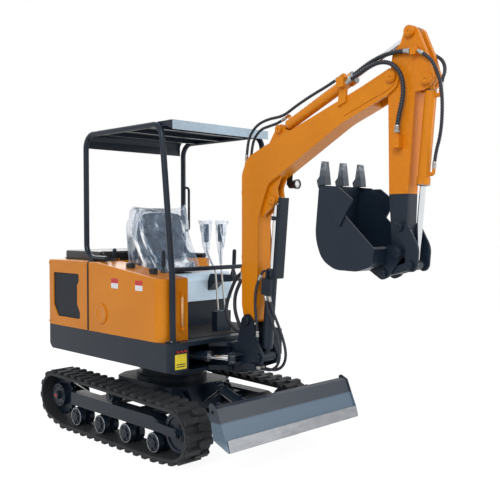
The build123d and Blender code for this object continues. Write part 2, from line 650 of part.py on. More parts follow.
def tank_cover():
    """Orange tank on the right of the driver, with a sloping top and rounded front corner."""
    plan = [(SEAM_X + 4, -HOUSE_HALF), (TANK_FRONT, -HOUSE_HALF, TANK_ROUND), (TANK_FRONT, -TANK_IN),
            (SEAM_X + 4, -TANK_IN)]
    body = slab(plan, DECK_Z, COVER_TOP + 40)
    slope = profile([(SEAM_X - 20, COVER_TOP), (SEAM_X + 110, COVER_TOP), (TANK_FRONT + 20, TANK_FRONT_TOP),
                     (TANK_FRONT + 20, COVER_TOP + 80), (SEAM_X - 20, COVER_TOP + 80)][::-1],
                    -HOUSE_HALF - 10, 0)
    body = body - slope
    body = body.fuse(cross((-130, 970), -HOUSE_HALF - 8, -HOUSE_HALF + 1, 77))

    def on_top(edge):
        spot = edge.center()
        return spot.Z > TANK_FRONT_TOP - 40 and spot.Y < -TANK_IN - 20 and spot.X > SEAM_X + 20

    top_edges = body.edges().filter_by(on_top)
    return fillet(top_edges, 14)


def tank_caps(tank):
    """The two filler caps on the tank's sloping top."""
    caps = [rod((100, -470, 1300), (100, -470, 1365), 33), rod((380, -470, 1270), (380, -470, 1336), 30)]
    return [fillet(cap.edges().group_by(Axis.Z)[-1], 6) - tank for cap in caps]


def sight_gauge():
    """Level gauge on the tank's front: a back plate with two end blocks and a tube."""
    x = TANK_FRONT
    pieces = [box(x, x + 5, -413, -377, 893, 1172), rod((x + 16, -395, 905), (x + 16, -395, 1160), 8)]
    for z in (895, 1142):
        pieces.append(box(x, x + 26, -408, -382, z, z + 28))
    return one(*pieces)


def hood():
    """Black engine lid on top at the rear."""
    plan = [(HOOD_REAR, -HOOD_HALF, 40), (HOOD_FRONT, -HOOD_HALF, 40), (HOOD_FRONT, HOOD_HALF, 40),
            (HOOD_REAR, HOOD_HALF, 40)]
    skin = slab(plan, HOOD_LOW, HOOD_TOP)
    skin = fillet(skin.edges().group_by(Axis.Z)[-1], 22)
    inner = slab([(HOOD_REAR + 8, -HOOD_HALF + 8, 32), (HOOD_FRONT - 8, -HOOD_HALF + 8, 32),
                  (HOOD_FRONT - 8, HOOD_HALF - 8, 32), (HOOD_REAR + 8, HOOD_HALF - 8, 32)],
                 HOOD_LOW - 1, HOOD_TOP - 12)
    lid = skin - inner
    for y in (-320, 280):
        lid -= box(HOOD_FRONT - 9, HOOD_FRONT + 1, y - 2, y + 49, HOOD_LOW - 1, HOOD_HINGE[1] + KNUCKLE_R + 3)
    for y in (-304, 296):
        lid = lid.fuse(cross(HOOD_HINGE, y, y + 15, KNUCKLE_R),
                       box(HOOD_FRONT - 8, HOOD_HINGE[0], y, y + 15, HOOD_HINGE[1] + 3,
                           HOOD_HINGE[1] + KNUCKLE_R),
                       box(HOOD_FRONT - 8, HOOD_FRONT - 2, y, y + 15, HOOD_HINGE[1] + 3, HOOD_HINGE[1] + 30))
    return lid.clean()


def canopy_frame():
    """Two bent tubes, from the deck over the roof to the rear covers, and the rail between them."""
    low_run = COVER_TOP + HOOP_R + 2
    points = [(FRONT_LEG_X, DECK_Z + 3), (FRONT_LEG_X - 4, LEG_BEND_Z), (FRONT_LEG_TOP_X, HOOP_TOP),
              (REAR_LEG_X, HOOP_TOP), (REAR_LEG_X, low_run), (HOOP_END_X, low_run)]
    pieces = []
    for sy in (-1, 1):
        pieces.append(pipe([(x, sy * HOOP_Y, z) for x, z in points], HOOP_R, [300, 110, 110, 110]))
        pieces.append(box(REAR_LEG_X + 60, REAR_LEG_X + 130, sy * HOOP_Y - 26, sy * HOOP_Y + 26, COVER_TOP,
                          COVER_TOP + HOOP_R))
        pieces.append(box(FRONT_LEG_X - 34, FRONT_LEG_X + 34, sy * HOOP_Y - 38, sy * HOOP_Y + 38, DECK_Z,
                          DECK_Z + 10))
    lean = (RAIL_Z - LEG_BEND_Z) / (HOOP_TOP - LEG_BEND_Z)
    rail_x = FRONT_LEG_X - 4 + (FRONT_LEG_TOP_X - FRONT_LEG_X + 4) * max(lean, 0)
    pieces.append(rod((rail_x, -HOOP_Y, RAIL_Z), (rail_x, HOOP_Y, RAIL_Z), RAIL_R))
    low, high = HANDLE
    handle_x = REAR_LEG_X + HANDLE_OUT
    pieces.append(pipe([(REAR_LEG_X, HOOP_Y, high), (handle_x, HOOP_Y, high), (handle_x, HOOP_Y, low),
                        (REAR_LEG_X, HOOP_Y, low)], 11, 32))
    return one(*pieces)


def roof():
    """Roof sheet bent down at the rear, with a front flange, side rims and ribs under it."""
    top = HOOP_TOP + HOOP_R
    outer = [(ROOF_FRONT, top), (ROOF_FRONT, top - ROOF_FLANGE), (ROOF_FRONT - SHEET, top - ROOF_FLANGE),
             (ROOF_FRONT - SHEET, top - SHEET),
             (REAR_LEG_X + SHEET - HOOP_R, top - SHEET, 125), (REAR_LEG_X + SHEET - HOOP_R, top - ROOF_DROP),
             (REAR_LEG_X - HOOP_R, top - ROOF_DROP),
             (REAR_LEG_X - HOOP_R, top, 130)]
    sheet = profile(outer, -ROOF_HALF, ROOF_HALF)
    ribs = []
    for x in (-260, 40, 340):
        ribs.append(box(x - 18, x + 18, -ROOF_HALF, ROOF_HALF, top - 34, top - SHEET + 1))
    for sy in (-1, 1):
        low, high = sorted((sy * (ROOF_HALF - SHEET), sy * ROOF_HALF))
        ribs.append(profile([(ROOF_FRONT, top - 1), (ROOF_FRONT, top - ROOF_FLANGE),
                             (ROOF_FRONT - 90, top - 34, 20), (-330, top - 34), (-330, top - 1)], low, high))
    return one(sheet, *ribs)


def seat():
    """Driver's seat: cushion and back, as plain solids."""
    cushion = profile([(-225, CONSOLE_TOP + 6, 20), (60, CONSOLE_TOP + 6, 20), (88, 1300, 30), (70, 1356, 34),
                       (-100, 1346, 30), (-225, 1352, 30)], -222, 222)
    back = profile([(-250, 1362, 8), (-110, 1362, 30), (-84, 1430, 60), (-112, 1550, 120), (-74, 1660, 80),
                    (-84, 1742, 44), (-176, 1742, 40), (-212, 1540, 120)], -216, 216)
    return cushion, back


def seat_console(left):
    """Pale box that carries the seat, across the house between the tank and the left edge."""
    shape = profile([(SEAM_X + 4, CONSOLE_LOW), (CONSOLE_FRONT, CONSOLE_LOW),
                     (CONSOLE_FRONT, CONSOLE_TOP - 59),
                     (CONSOLE_FRONT - 40, CONSOLE_TOP), (SEAM_X + 4, CONSOLE_TOP)], -TANK_IN + 1,
                     CONSOLE_LEFT)
    return shape - left


def seat_base(left):
    """Dark foot of the console, set back over the pedals, the seat's rails, and the left lever's pod."""
    foot = box(SEAM_X + 4, CONSOLE_FRONT - RECESS, -TANK_IN + 1, CONSOLE_LEFT, DECK_Z, CONSOLE_LOW) - left
    rails = [box(-210, 50, y - 20, y + 20, CONSOLE_TOP, CONSOLE_TOP + 6) for y in (-150, 150)]
    holder = box(-248, -228, -70, 70, CONSOLE_TOP, 1362)
    pod = profile([(CONSOLE_FRONT, 1110), (CONSOLE_FRONT, 1190), (CONSOLE_FRONT + 30, 1250, 20),
                   (400, 1250, 22),
                   (400, 1200, 22), (190, 1182, 40)][::-1], 300, 400)
    return [foot, *rails, holder, pod]


def floor_mat():
    return slab([(CONSOLE_FRONT + 30, -300, 20), (590, -300, 20), (590, 540, 20),
                 (CONSOLE_FRONT + 30, 540, 20)],
                DECK_Z, DECK_Z + MAT)


def stick(x, y, z, lean, grip_long):
    """A hand lever: a tapering boot, a stem, and a round-ended grip."""
    top = (x + lean, y, z + 60)
    head = (x + lean * 1.8, y, z + 60 + grip_long)
    boot = Pos(x, y, z) * Cone(STICK_FOOT, 11, 52, align=(Align.CENTER, Align.CENTER, Align.MIN))
    return one(boot, rod((x, y, z + 20), top, LEVER_R), rod(top, head, GRIP_R * 0.8),
               Pos(*head) * Sphere(GRIP_R * 0.8))


def levers(tank):
    """Hand levers: one on the tank, one on the pod, and the two travel levers on the floor."""
    found = [stick(355, -362, 1280, 4, 110) - tank, stick(352, 352, 1250, 8, 130)]
    found.append(stick(-240, -392, 1330, 8, 60) - tank)
    box_top = 985
    foot = box(420, 480, 62, 205, DECK_Z + MAT, box_top)
    ways = [[(450, 100, box_top - 5), (450, 72, 1290), (450, -12, 1440), (450, -22, 1530)],
            [(450, 172, box_top - 5), (450, 130, 1330), (450, 124, 1530)]]
    for way in ways:
        foot = foot.fuse(pipe(way, LEVER_R, 60))
        x, y, z = way[-1]
        foot = foot.fuse(fillet(rod((x, y, z - 10), (x, y, z + 128), GRIP_R).edges(), 10))
    return [*found, foot]


def swing_post():
    """Casting between the nose of the house and the boom's foot, with the pins it holds."""
    low = FRAME_LOW + 34 + SIDE_GAP
    high = DECK_Z - 66 - SIDE_GAP
    inner = BOOM_HALF + SIDE_GAP
    outer = inner + 22
    pieces = [rod((SWING_X, 0, low), (SWING_X, 0, high), 66)]
    for sy in (-1, 1):
        ear = [(852, low), (852, 790, 20), (FOOT[0] - 50, FOOT[1] + 10, 46), (FOOT[0], FOOT[1] + 56, 46),
               (FOOT[0] + 50, FOOT[1] + 10, 46),
               (1050, 840, 60), (BOOM_BASE[0] + 50, BOOM_BASE[1] + 10, 40),
               (BOOM_BASE[0] + 30, BOOM_BASE[1] - 50, 40), (960, low + 4, 30)]
        pieces.append(profile(ear, *sorted((sy * inner, sy * outer))))
        pieces.append(cross(FOOT, *sorted((sy * outer, sy * (outer + 14))), 34))
        pieces.append(cross(BOOM_BASE, *sorted((sy * outer, sy * (outer + 12))), 30))
    pieces.append(cross(FOOT, -outer, outer, 25))
    pieces.append(cross(BOOM_BASE, -outer, outer, 18 - FIT))
    pieces.append(box(SWING_X, 880, -inner - 8, inner + 8, low, high))
    pieces.append(box(860, 1000, -inner - 2, inner + 2, low, low + 30))
    pieces.append(box(860, 884, -inner - 2, inner + 2, low, high))
    reach = EYE_WIDE / 2 + SIDE_GAP
    for low_z, high_z in ((SWING_Z + reach, SWING_Z + reach + 16), (SWING_Z - reach - 16, SWING_Z - reach)):
        pieces.append(slab([(846, -60), (SWING_EYE[0] - 38, SWING_EYE[1] + 20, 30),
                            (SWING_EYE[0] - 20, SWING_EYE[1] - 36, 30),
                            (SWING_EYE[0] + 20, SWING_EYE[1] - 36, 30),
                            (SWING_EYE[0] + 40, SWING_EYE[1] + 20, 30), (930, -80)], low_z, high_z))
    pieces.append(box(884, 908, -inner - 1, inner + 1, high - 2, 832))
    pieces.append(box(1000, 1062, -113, -44, 628, 680))
    for way in post_hose_ways():
        pieces.append(stub(way[-1], way[-2], 34))
    for way in barrel_hose_ways():
        pieces.append(stub(way[-1], way[-2], 30))
    post = one(*pieces)
    return post - rod((SWING_X, 0, low - 5), (SWING_X, 0, high + 5), SWING_PIN_R + FIT)


def swing_pin():
    """Upright pin of the swing post, held by the house."""
    return one(rod((SWING_X, 0, FRAME_LOW - 4), (SWING_X, 0, DECK_Z - 28), SWING_PIN_R),
               rod((SWING_X, 0, DECK_Z - 32), (SWING_X, 0, DECK_Z - 22), SWING_PIN_R + 14))


def boom():
    """Boom: two side plates, top and bottom plates between them, ears and bosses."""
    outline = [(FOOT[0] - 44, FOOT[1] - 20, 40), (FOOT[0] + 44, FOOT[1] - 20, 40), (1036, 1100, 200),
               (1046, 1700, 160), (1140, 1932, 120), (1780, 2286, 600),
               (2120, 2415), (ARM_PIN[0] + 30, ARM_PIN[1] - 62, 40), (ARM_PIN[0] + 58, ARM_PIN[1] + 8, 50),
               (ARM_PIN[0] - 10, ARM_PIN[1] + 58, 40),
               (1936, 2493, 700), (1100, 2190, 200), (940, 2126, 120), (884, 2010, 120), (884, 1080, 60)]
    solid = profile(outline, -BOOM_HALF, BOOM_HALF)
    inner = [(930, 1120, 10), (1020, 1120, 10), (1034, 1700, 160), (1130, 1944, 120), (1775, 2298, 600),
             (1980, 2374), (1960, 2490), (1104, 2178, 200),
             (948, 2118, 110), (896, 2005, 120), (896, 1120, 10)]
    hollow = profile(inner, -BOOM_HALF + PLATE, BOOM_HALF - PLATE)
    pieces = [solid - hollow]
    gap = EYE_WIDE / 2 + SIDE_GAP
    for sy in (-1, 1):
        y0, y1 = sorted((sy * gap, sy * (gap + EAR)))
        pieces.append(profile([(1036, 1690), (BOOM_EYE[0] - 6, BOOM_EYE[1] - 44, 40),
                               (BOOM_EYE[0] + 44, BOOM_EYE[1], 40), (BOOM_EYE[0] + 30, BOOM_EYE[1] + 80, 60),
                               (1240, 1990), (1150, 1960), (1040, 1780)], y0, y1))
        y2, y3 = sorted((sy * (gap + EAR), sy * (gap + EAR + 18)))
        pieces.append(cross(BOOM_EYE, y2, y3, 30))
        pieces.append(profile([(ARM_BASE[0] - 120, 2180), (ARM_BASE[0] - 42, ARM_BASE[1] - 6, 40),
                               (ARM_BASE[0] + 4, ARM_BASE[1] + 42, 40),
                               (ARM_BASE[0] + 50, ARM_BASE[1] - 6, 40),
                               (ARM_BASE[0] + 160, 2270), (ARM_BASE[0] + 60, 2220)][::-1], y0, y1))
        pieces.append(cross(ARM_BASE, y2, y3, 28))
        y4, y5 = sorted((sy * BOOM_HALF, sy * (BOOM_HALF + 22)))
        pieces.append(cross(ARM_PIN, y4, y5, 34))
        pieces.append(profile([(1800, 2330), (2110, 2440), (ARM_PIN[0] + 30, ARM_PIN[1] - 40, 30),
                               (ARM_PIN[0], ARM_PIN[1] + 44, 30), (1850, 2425)],
                              *sorted((sy * (BOOM_HALF), sy * (BOOM_HALF + 5)))))
    whole = one(*pieces)
    whole -= cross(FOOT, -BOOM_HALF - 1, BOOM_HALF + 1, 25 + FIT)
    corners = [(-150, -200), (200, -200), (200, 200), (-220, 200), (-220, -30), (-150, -60)]
    slot = profile([(ARM_PIN[0] + x, ARM_PIN[1] + z) for x, z in corners], -ARM_HALF - SIDE_GAP,
                   ARM_HALF + SIDE_GAP)
    whole -= slot
    bracket = profile([(1758, 2390), (1822, 2414), (1830, 2507), (1774, 2507)], -BOOM_HALF - 14,
                      -BOOM_HALF + 2)
    block = box(1774, 1830, -112, -50, 2503, 2563)
    stubs = [stub(way[0], way[1], 26) for way in arm_hose_ways()]
    return one(whole, cross(ARM_PIN, -BOOM_HALF, BOOM_HALF, 25), cross(ARM_BASE, -gap - 5, gap + 5, 18 - FIT),
               bracket, block, *stubs)


def boom_pipes():
    """Two steel pipes up the boom's back, with clamps, and the block at their lower ends."""
    back = FOOT[0] - 71
    block = box(back - 38, back, -40, 40, 1310, 1346)
    pieces = [block]
    for y in (-22, 22):
        pieces.append(pipe([(back - 14, y, 1330), (back - 14, y, 2016), (back + 3, y, 2104)], PIPE_R, 60))
    for z in (1421, 1882):
        pieces.append(box(back - 27, back, -42, 42, z - 14, z + 14))
    for way in post_hose_ways():
        pieces.append(stub(way[0], way[1], 22))
    return one(*pieces)


def work_lamp():
    """Lamp under the boom's bend on its left side, with its bracket."""
    y = BOOM_HALF
    bracket = profile([(1196, 1926), (1244, 1926), (1256, 2040, 10), (1206, 2020, 10)], y, y + 6)
    shell = rod((1192, y + 34, 1932), (1258, y + 34, 1932), 29)
    shell = fillet(shell.edges().group_by(Axis.X)[0], 14)
    rim = rod((1256, y + 34, 1932), (1272, y + 34, 1932), 34) - rod((1264, y + 34, 1932),
                                                                    (1273, y + 34, 1932), 28)
    return one(bracket, shell, rim, box(1208, 1236, y + 4, y + 20, 1920, 1944))


def rod_guard():
    """Folded sheet in front of the boom cylinder's rod, on a clamp round the rod."""
    length = hypot(BOOM_EYE[0] - BOOM_BASE[0], BOOM_EYE[1] - BOOM_BASE[1])
    low = 565
    high = length + 22
    clamp = length - 125
    pieces = [box(low, high, -40, 40, -75, -70), box(clamp - 12, clamp + 12, -20, 20, -72, -24)]
    for sy in (-1, 1):
        pieces.append(box(low, high, *sorted((sy * 35, sy * 40)), -75, -50))
    pieces.append(rod((clamp - 14, 0, 0), (clamp + 14, 0, 0), 32))
    shape = one(*pieces) - rod((clamp - 20, 0, 0), (clamp + 20, 0, 0), 20)
    turn = degrees(atan2(BOOM_EYE[1] - BOOM_BASE[1], BOOM_EYE[0] - BOOM_BASE[0]))
    return Pos(BOOM_BASE[0], 0, BOOM_BASE[1]) * Rot(0, -turn, 0) * shape


def post_hose_ways():
    """From the boom's pipes to the block in the swing post."""
    return [
        [(836, 14, 1316), (772, 0, 1284), (722, -16, 1180), (676, -28, 1050), (690, -30, 965),
         (748, -26, 897),
         (812, -14, 868), (878, 0, 842)],
        [(860, -26, 1298), (846, -46, 1235), (800, -52, 1148), (794, -52, 1052), (814, -50, 982),
         (852, -48, 914),
         (884, -44, 851)],
    ]


def barrel_hose_ways():
    """From the boom cylinder's block to the swing post: two in front and one up over the side."""
    spots = [(577.4, -64.4, 43.5), (440.2, -58, -4), (440.6, -60, -42)]
    elbow, right, front = [along_cylinder(BOOM_BASE, BOOM_EYE, *spot) for spot in spots]
    return [
        [elbow, (1056, -74, 1258), (1044, -82, 1204), (1038, -86, 1125), (1042, -86, 1035), (1055, -84, 945),
         (1058, -81, 868)],
        [right, (1138, -68, 1085), (1192, -82, 1000), (1262, -94, 885), (1291, -101, 795),
         (1284, -102, 718), (1236, -102, 664), (1160, -101, 652), (1076, -101, 656)],
        [front, (1176, -60, 1070), (1240, -60, 962), (1296, -60, 842), (1311, -60, 760),
         (1286, -60, 692), (1226, -60, 654), (1150, -59, 648), (1076, -59, 654)],
    ]


def top_hose_ways():
    """From the boom's pipes over the bend to the arm cylinder's two elbows."""
    near = NECK + 26 - 33
    far = hypot(ARM_EYE[0] - ARM_BASE[0], ARM_EYE[1] - ARM_BASE[1]) * 0.58 - 62 - 33
    back = FOOT[0] - 71

    def beside(way):
        return [along_cylinder(ARM_BASE, ARM_EYE, *spot) for spot in way]

    return [
        [(back + 4, 22, 2109), (back + 12, 22, 2185), (926, 17, 2268), (1000, 8, 2325), (1090, 2, 2338),
         *beside([(near - 74, 0, PORT_LONG), (near, 0, PORT_LONG)])],
        [(back + 4, -22, 2109), (back + 12, -23, 2185), (922, -27, 2280), (1000, -30, 2352),
         (1110, -31, 2382),
         *beside([(60, -31, 66), (190, -29, 71), (330, -20, 69), (far - 90, -2, PORT_LONG),
                  (far, 0, PORT_LONG)])],
    ]


def arm_hose_ways():
    """From the block on the boom to the arm: one to its side, one over its head."""
    return [
        [(1842, -94, 2525), (1920, -92, 2560), (2012, -91, 2600), (2094, -90, 2616), (2176, -89, 2592),
         (2232, -87, 2530),
         (2252, -86, 2436), (2238, -86, 2349), (2214, -85, 2272), (2204, -84, 2190)],
        [(1842, -67, 2552), (1938, -70, 2602), (2044, -72, 2642), (2130, -72, 2658), (2210, -72, 2660),
         (2284, -72, 2650)],
    ]


def bucket_hose_ways():
    """From the arm's head to the bucket cylinder's elbows."""
    near = NECK + 26 - 33
    far = hypot(LINK_PIN[0] - BUCKET_BASE[0], LINK_PIN[1] - BUCKET_BASE[1]) * 0.56 - 62 - 33

    def beside(way):
        return [along_cylinder(BUCKET_BASE, LINK_PIN, *spot) for spot in way]

    return [
        [(2336, -72, 2641), (2398, -72, 2608), (2448, -68, 2540), (2480, -58, 2437), (2480, -42, 2300),
         (2456, -20, 2160),
         *beside([(far - 84, -2, PORT_LONG + 2), (far, 0, PORT_LONG)])],
        [(2336, 70, 2643), (2390, 66, 2620), (2436, 46, 2574), (2458, 20, 2520),
         *beside([(near - 60, 2, PORT_LONG + 3), (near, 0, PORT_LONG)])],
    ]


def hoses(ways, thick):
    return [hose(way, thick) for way in ways]


def arm():
    """Arm: a tapered box with a tall head for its cylinder, and bosses at the lower end."""
    head = [(2119, 2455), (2148, 2656, 60), (2205, 2715), (ARM_EYE[0] - 44, ARM_EYE[1] + 6, 40),
            (ARM_EYE[0], ARM_EYE[1] + 44, 40), (ARM_EYE[0] + 44, ARM_EYE[1] + 10, 40),
            (2382, 2622), (BUCKET_BASE[0] + 42, BUCKET_BASE[1], 40),
            (BUCKET_BASE[0], BUCKET_BASE[1] - 54, 40), (2305, 2418), (2262, 1840), (2255, 1650), (2252, 1500),
            (BUCKET_PIN[0] + 10, BUCKET_PIN[1] - 48, 44), (BUCKET_PIN[0] - 50, BUCKET_PIN[1] - 10, 44),
            (2130, 1840)]
    solid = profile(head, -ARM_HALF, ARM_HALF)
    hollow = profile([(2146, 1700), (2240, 1700), (2290, 2400), (2146, 2400)], -ARM_HALF + PLATE,
                     ARM_HALF - PLATE)
    reach = EYE_WIDE / 2 + SIDE_GAP
    open_top = profile([(2050, 2595), (2050, 2900), (2600, 2900), (2600, 2300), (2312, 2300), (2312, 2425),
                        (2300, 2595)], -reach, reach)
    pieces = [solid - hollow - open_top]
    for sy in (-1, 1):
        low, high = sorted((sy * ARM_HALF, sy * (ARM_HALF + 24)))
        pieces.append(cross(ARM_EYE, low, high, 32))
        pieces.append(cross(BUCKET_BASE, low, high, 32))
        low, high = sorted((sy * (ARM_HALF - 2), sy * (ARM_HALF + 40)))
        pieces.append(box(2292, 2330, low, high, 2624, 2668))
    pieces.append(box(2180, 2226, -ARM_HALF - 48, -ARM_HALF + 2, 2100, 2176))
    pieces.append(stub(arm_hose_ways()[0][-1], arm_hose_ways()[0][-2], 30))
    pieces.append(stub(arm_hose_ways()[1][-1], arm_hose_ways()[1][-2], 20))
    for way in bucket_hose_ways():
        pieces.append(stub(way[0], way[1], 20))
    whole = one(*pieces)
    whole -= cross(ARM_PIN, -ARM_HALF - 1, ARM_HALF + 1, 25 + FIT)
    whole -= cross(BUCKET_PIN, -ARM_HALF - 1, ARM_HALF + 1, 25 + FIT)
    whole -= cross(ROCKER_PIN, -ARM_HALF - 1, ARM_HALF + 1, 22 + FIT)
    return one(whole, cross(BUCKET_BASE, -reach - 5, reach + 5, 18 - FIT))


def rocker():
    """Two curved side links outside the arm, with the pin they turn on and the one they carry."""
    low = ARM_HALF + LAYER_GAP
    high = low + EAR
    outline = [(ROCKER_PIN[0] - 36, ROCKER_PIN[1] - 4, 34), (ROCKER_PIN[0] - 4, ROCKER_PIN[1] + 36, 34),
               (ROCKER_PIN[0] + 62, ROCKER_PIN[1] + 8, 60),
               (2348, 1520, 120), (2338, 1395, 50), (LINK_PIN[0] + 8, LINK_PIN[1] - 46, 34),
               (LINK_PIN[0] - 34, LINK_PIN[1] - 6, 30), (2262, 1520, 90)]
    pieces = []
    for sy in (-1, 1):
        y0, y1 = sorted((sy * low, sy * high))
        pieces.append(profile(outline[::-1], y0, y1))
        y2, y3 = sorted((sy * high, sy * (high + 14)))
        pieces.append(cross(ROCKER_PIN, y2, y3, 30))
        pieces.append(cross(LINK_PIN, y2, y3, 28))
    pieces.append(cross(ROCKER_PIN, -low, low, 22))
    return one(*pieces)


def bucket_link():
    """Link from the side links to the bucket's ears, forked around the rod's eye."""
    gap = EYE_WIDE / 2 + LAYER_GAP
    wide = ARM_HALF + LAYER_GAP - SIDE_GAP
    pieces = []
    turn = atan2(EAR_PIN[1] - LINK_PIN[1], EAR_PIN[0] - LINK_PIN[0])
    across = (-sin(turn), cos(turn))

    def off(pin, along, side):
        return (pin[0] + cos(turn) * along + across[0] * side, pin[1] + sin(turn) * along + across[1] * side)

    for sy in (-1, 1):
        y0, y1 = sorted((sy * gap, sy * wide))
        outline = [(*off(LINK_PIN, -28, -26), 25), (*off(LINK_PIN, -28, 26), 25),
                   (*off(EAR_PIN, 19, 19), 18), (*off(EAR_PIN, 19, -19), 18)]
        pieces.append(profile(outline, y0, y1))
    web = [off(LINK_PIN, 112, -22), off(LINK_PIN, 112, 22), (*off(EAR_PIN, 18, 17), 16),
           (*off(EAR_PIN, 18, -17), 16)]
    pieces.append(profile(web, -gap - 1, gap + 1))
    return one(*pieces)


def bucket():
    """Bucket shell with side cutters, ears and lip."""
    half = BUCKET_HALF
    outer = [(1722, 1896), (1690, 1570, 300), (1745, 1432, 160), (1850, 1376, 160), (2010, 1372, 100),
             (2118, 1404, 40), (2140, 1508), (1902, 1726), (1898, 1817), (1818, 1886)]
    inner = [(1734, 1920), (1702, 1570, 288), (1755, 1440, 148), (1852, 1388, 148), (2006, 1384, 88),
             (2107, 1414, 30), (2128, 1530), (2300, 1560), (2300, 1920)]
    shell = profile(outer, -half, half) - profile(inner, -half + BUCKET_WALL, half - BUCKET_WALL)
    pieces = [shell]
    low = ARM_HALF + LAYER_GAP
    high = low + EAR
    for sy in (-1, 1):
        y0, y1 = sorted((sy * low, sy * high))
        pieces.append(profile([(2090, 1520), (BUCKET_PIN[0] - 30, BUCKET_PIN[1] + 44, 20),
                               (BUCKET_PIN[0] + 26, BUCKET_PIN[1] + 30, 30),
                               (BUCKET_PIN[0] + 34, BUCKET_PIN[1] - 20, 30),
                               (EAR_PIN[0] + 38, EAR_PIN[1] - 20, 34),
                               (EAR_PIN[0] - 10, EAR_PIN[1] - 42, 36), (2000, 1376), (2060, 1420),
                               (2110, 1480)], y0, y1))
        y2, y3 = sorted((sy * high, sy * (high + 16)))
        pieces.append(cross(BUCKET_PIN, y2, y3, 34))
        pieces.append(cross(EAR_PIN, y2, y3, 28))
        y4, y5 = sorted((sy * half, sy * (half + 12)))
        pieces.append(profile([(1728, 1892), (1760, 1780), (1890, 1640), (1990, 1800, 10), (1880, 1880, 10),
                               (1800, 1880)], y4, y5))
    pieces.append(cross(BUCKET_PIN, -low, low, 25))
    whole = one(*pieces)
    return whole


def bucket_teeth():
    found = []
    for y in (-TOOTH_PITCH, 0, TOOTH_PITCH):
        found.append(profile([(1712, 1880), (1700, 1925), (1722, 1950), (1738, 2042), (1752, 2042),
                              (1766, 1950), (1772, 1897), (1722, 1897.3)], y - 27, y + 27))
    return found


def write_parts(parts):
    os.makedirs("parts", exist_ok=True)
    boxes = []
    for name, solids in parts.items():
        solids = solids if isinstance(solids, (list, tuple)) else [solids]
        boxes.append(Compound(children=[s for piece in solids for s in piece.solids()]).bounding_box())
    middle = (min(b.min.X for b in boxes) + max(b.max.X for b in boxes)) / 2
    for name, solids in parts.items():
        solids = solids if isinstance(solids, (list, tuple)) else [solids]
        moved = [Pos(-middle, 0, 0) * s for piece in solids for s in piece.solids()]
        export_step(Compound(children=moved) if len(moved) > 1 else moved[0],
                    os.path.join("parts", name + ".step"))
    print("shift along X", round(middle, 3))


def main():
    parts = {}
    parts["centre_frame"] = centre_frame()
    parts["slew_ring"] = Pos(0, 0, SLEW_LOW) * Cylinder(SLEW_R, SLEW_HIGH - SLEW_LOW - SIDE_GAP,
                                                        align=(Align.CENTER, Align.CENTER, Align.MIN))
    for side, name in ((-1, "right"), (1, "left")):
        parts["track_" + name] = track(side)
        parts["track_frame_" + name] = track_frame(side)
    parts["track_rollers"] = rollers()
    parts["idlers"] = idlers()
    parts["sprockets"] = sprockets()
    parts["travel_motors"] = travel_motors() + motor_caps()
    parts["blade"] = blade()
    parts["blade_arms"] = blade_arms(parts["blade"])
    parts["blade_edge"] = blade_edge()
    parts["blade_barrel"], parts["blade_rod"] = cylinder_pair(BLADE_BASE, BLADE_EYE, 0, 0.76, 30, 18, 32, 16,
                                                              inside=150)
    parts["house_frame"] = house_frame()
    parts["rear_covers"] = covers()
    parts["window_meshes"] = window_meshes()
    parts["tank_cover"] = tank_cover()
    parts["tank_caps"] = tank_caps(parts["tank_cover"])
    parts["sight_gauge"] = sight_gauge()
    parts["left_cover"] = left_cover()
    parts["engine_hood"] = hood()
    parts["engine_block"] = box(-870, -420, -240, 240, DECK_Z, 1250)
    parts["canopy_frame"] = canopy_frame()
    parts["canopy_roof"] = roof()
    parts["seat_cushion"], parts["seat_back"] = seat()
    parts["seat_console"] = seat_console(parts["left_cover"])
    parts["seat_base"] = seat_base(parts["left_cover"])
    parts["floor_mat"] = floor_mat()
    parts["levers"] = levers(parts["tank_cover"])
    parts["swing_post"] = swing_post()
    parts["swing_pin"] = swing_pin()
    parts["swing_barrel"], parts["swing_rod"] = cylinder_pair(SWING_BASE, SWING_EYE, SWING_Z, 0.66, 28, 18,
                                                              30, 16, inside=160, flat=True)
    parts["boom"] = boom()
    parts["boom_barrel"], parts["boom_rod"] = cylinder_pair(BOOM_BASE, BOOM_EYE, 0, 0.56, 32, 20, 36, 18,
                                                            base_wide=2 * BOOM_HALF, ports="block")
    parts["rod_guard"] = rod_guard()
    parts["boom_pipes"] = boom_pipes()
    parts["work_lamp"] = work_lamp()
    parts["arm"] = arm()
    parts["arm_barrel"], parts["arm_rod"] = cylinder_pair(ARM_BASE, ARM_EYE, 0, 0.58, 30, 19, 34, 18,
                                                          ports="elbows")
    parts["bucket_barrel"], parts["bucket_rod"] = cylinder_pair(BUCKET_BASE, LINK_PIN, 0, 0.56, 28, 18, 30,
                                                                18,
                                                                ports="elbows")
    parts["post_hoses"] = hoses(post_hose_ways(), HOSE_THICK)
    parts["barrel_hoses"] = hoses(barrel_hose_ways(), HOSE_SLIM)
    parts["top_hoses"] = hoses(top_hose_ways(), HOSE_SLIM)
    parts["arm_hoses"] = hoses(arm_hose_ways(), HOSE_THICK)
    parts["bucket_hoses"] = hoses(bucket_hose_ways(), HOSE_SLIM)
    parts["side_links"] = rocker()
    parts["bucket_link"] = bucket_link()
    parts["bucket"] = bucket()
    parts["bucket_teeth"] = bucket_teeth()
    write_parts(parts)


if __name__ == "__main__":
    main()
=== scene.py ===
"""Looks of a mini excavator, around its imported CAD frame. Lengths are in metres, in the frame of the pack."""
import math

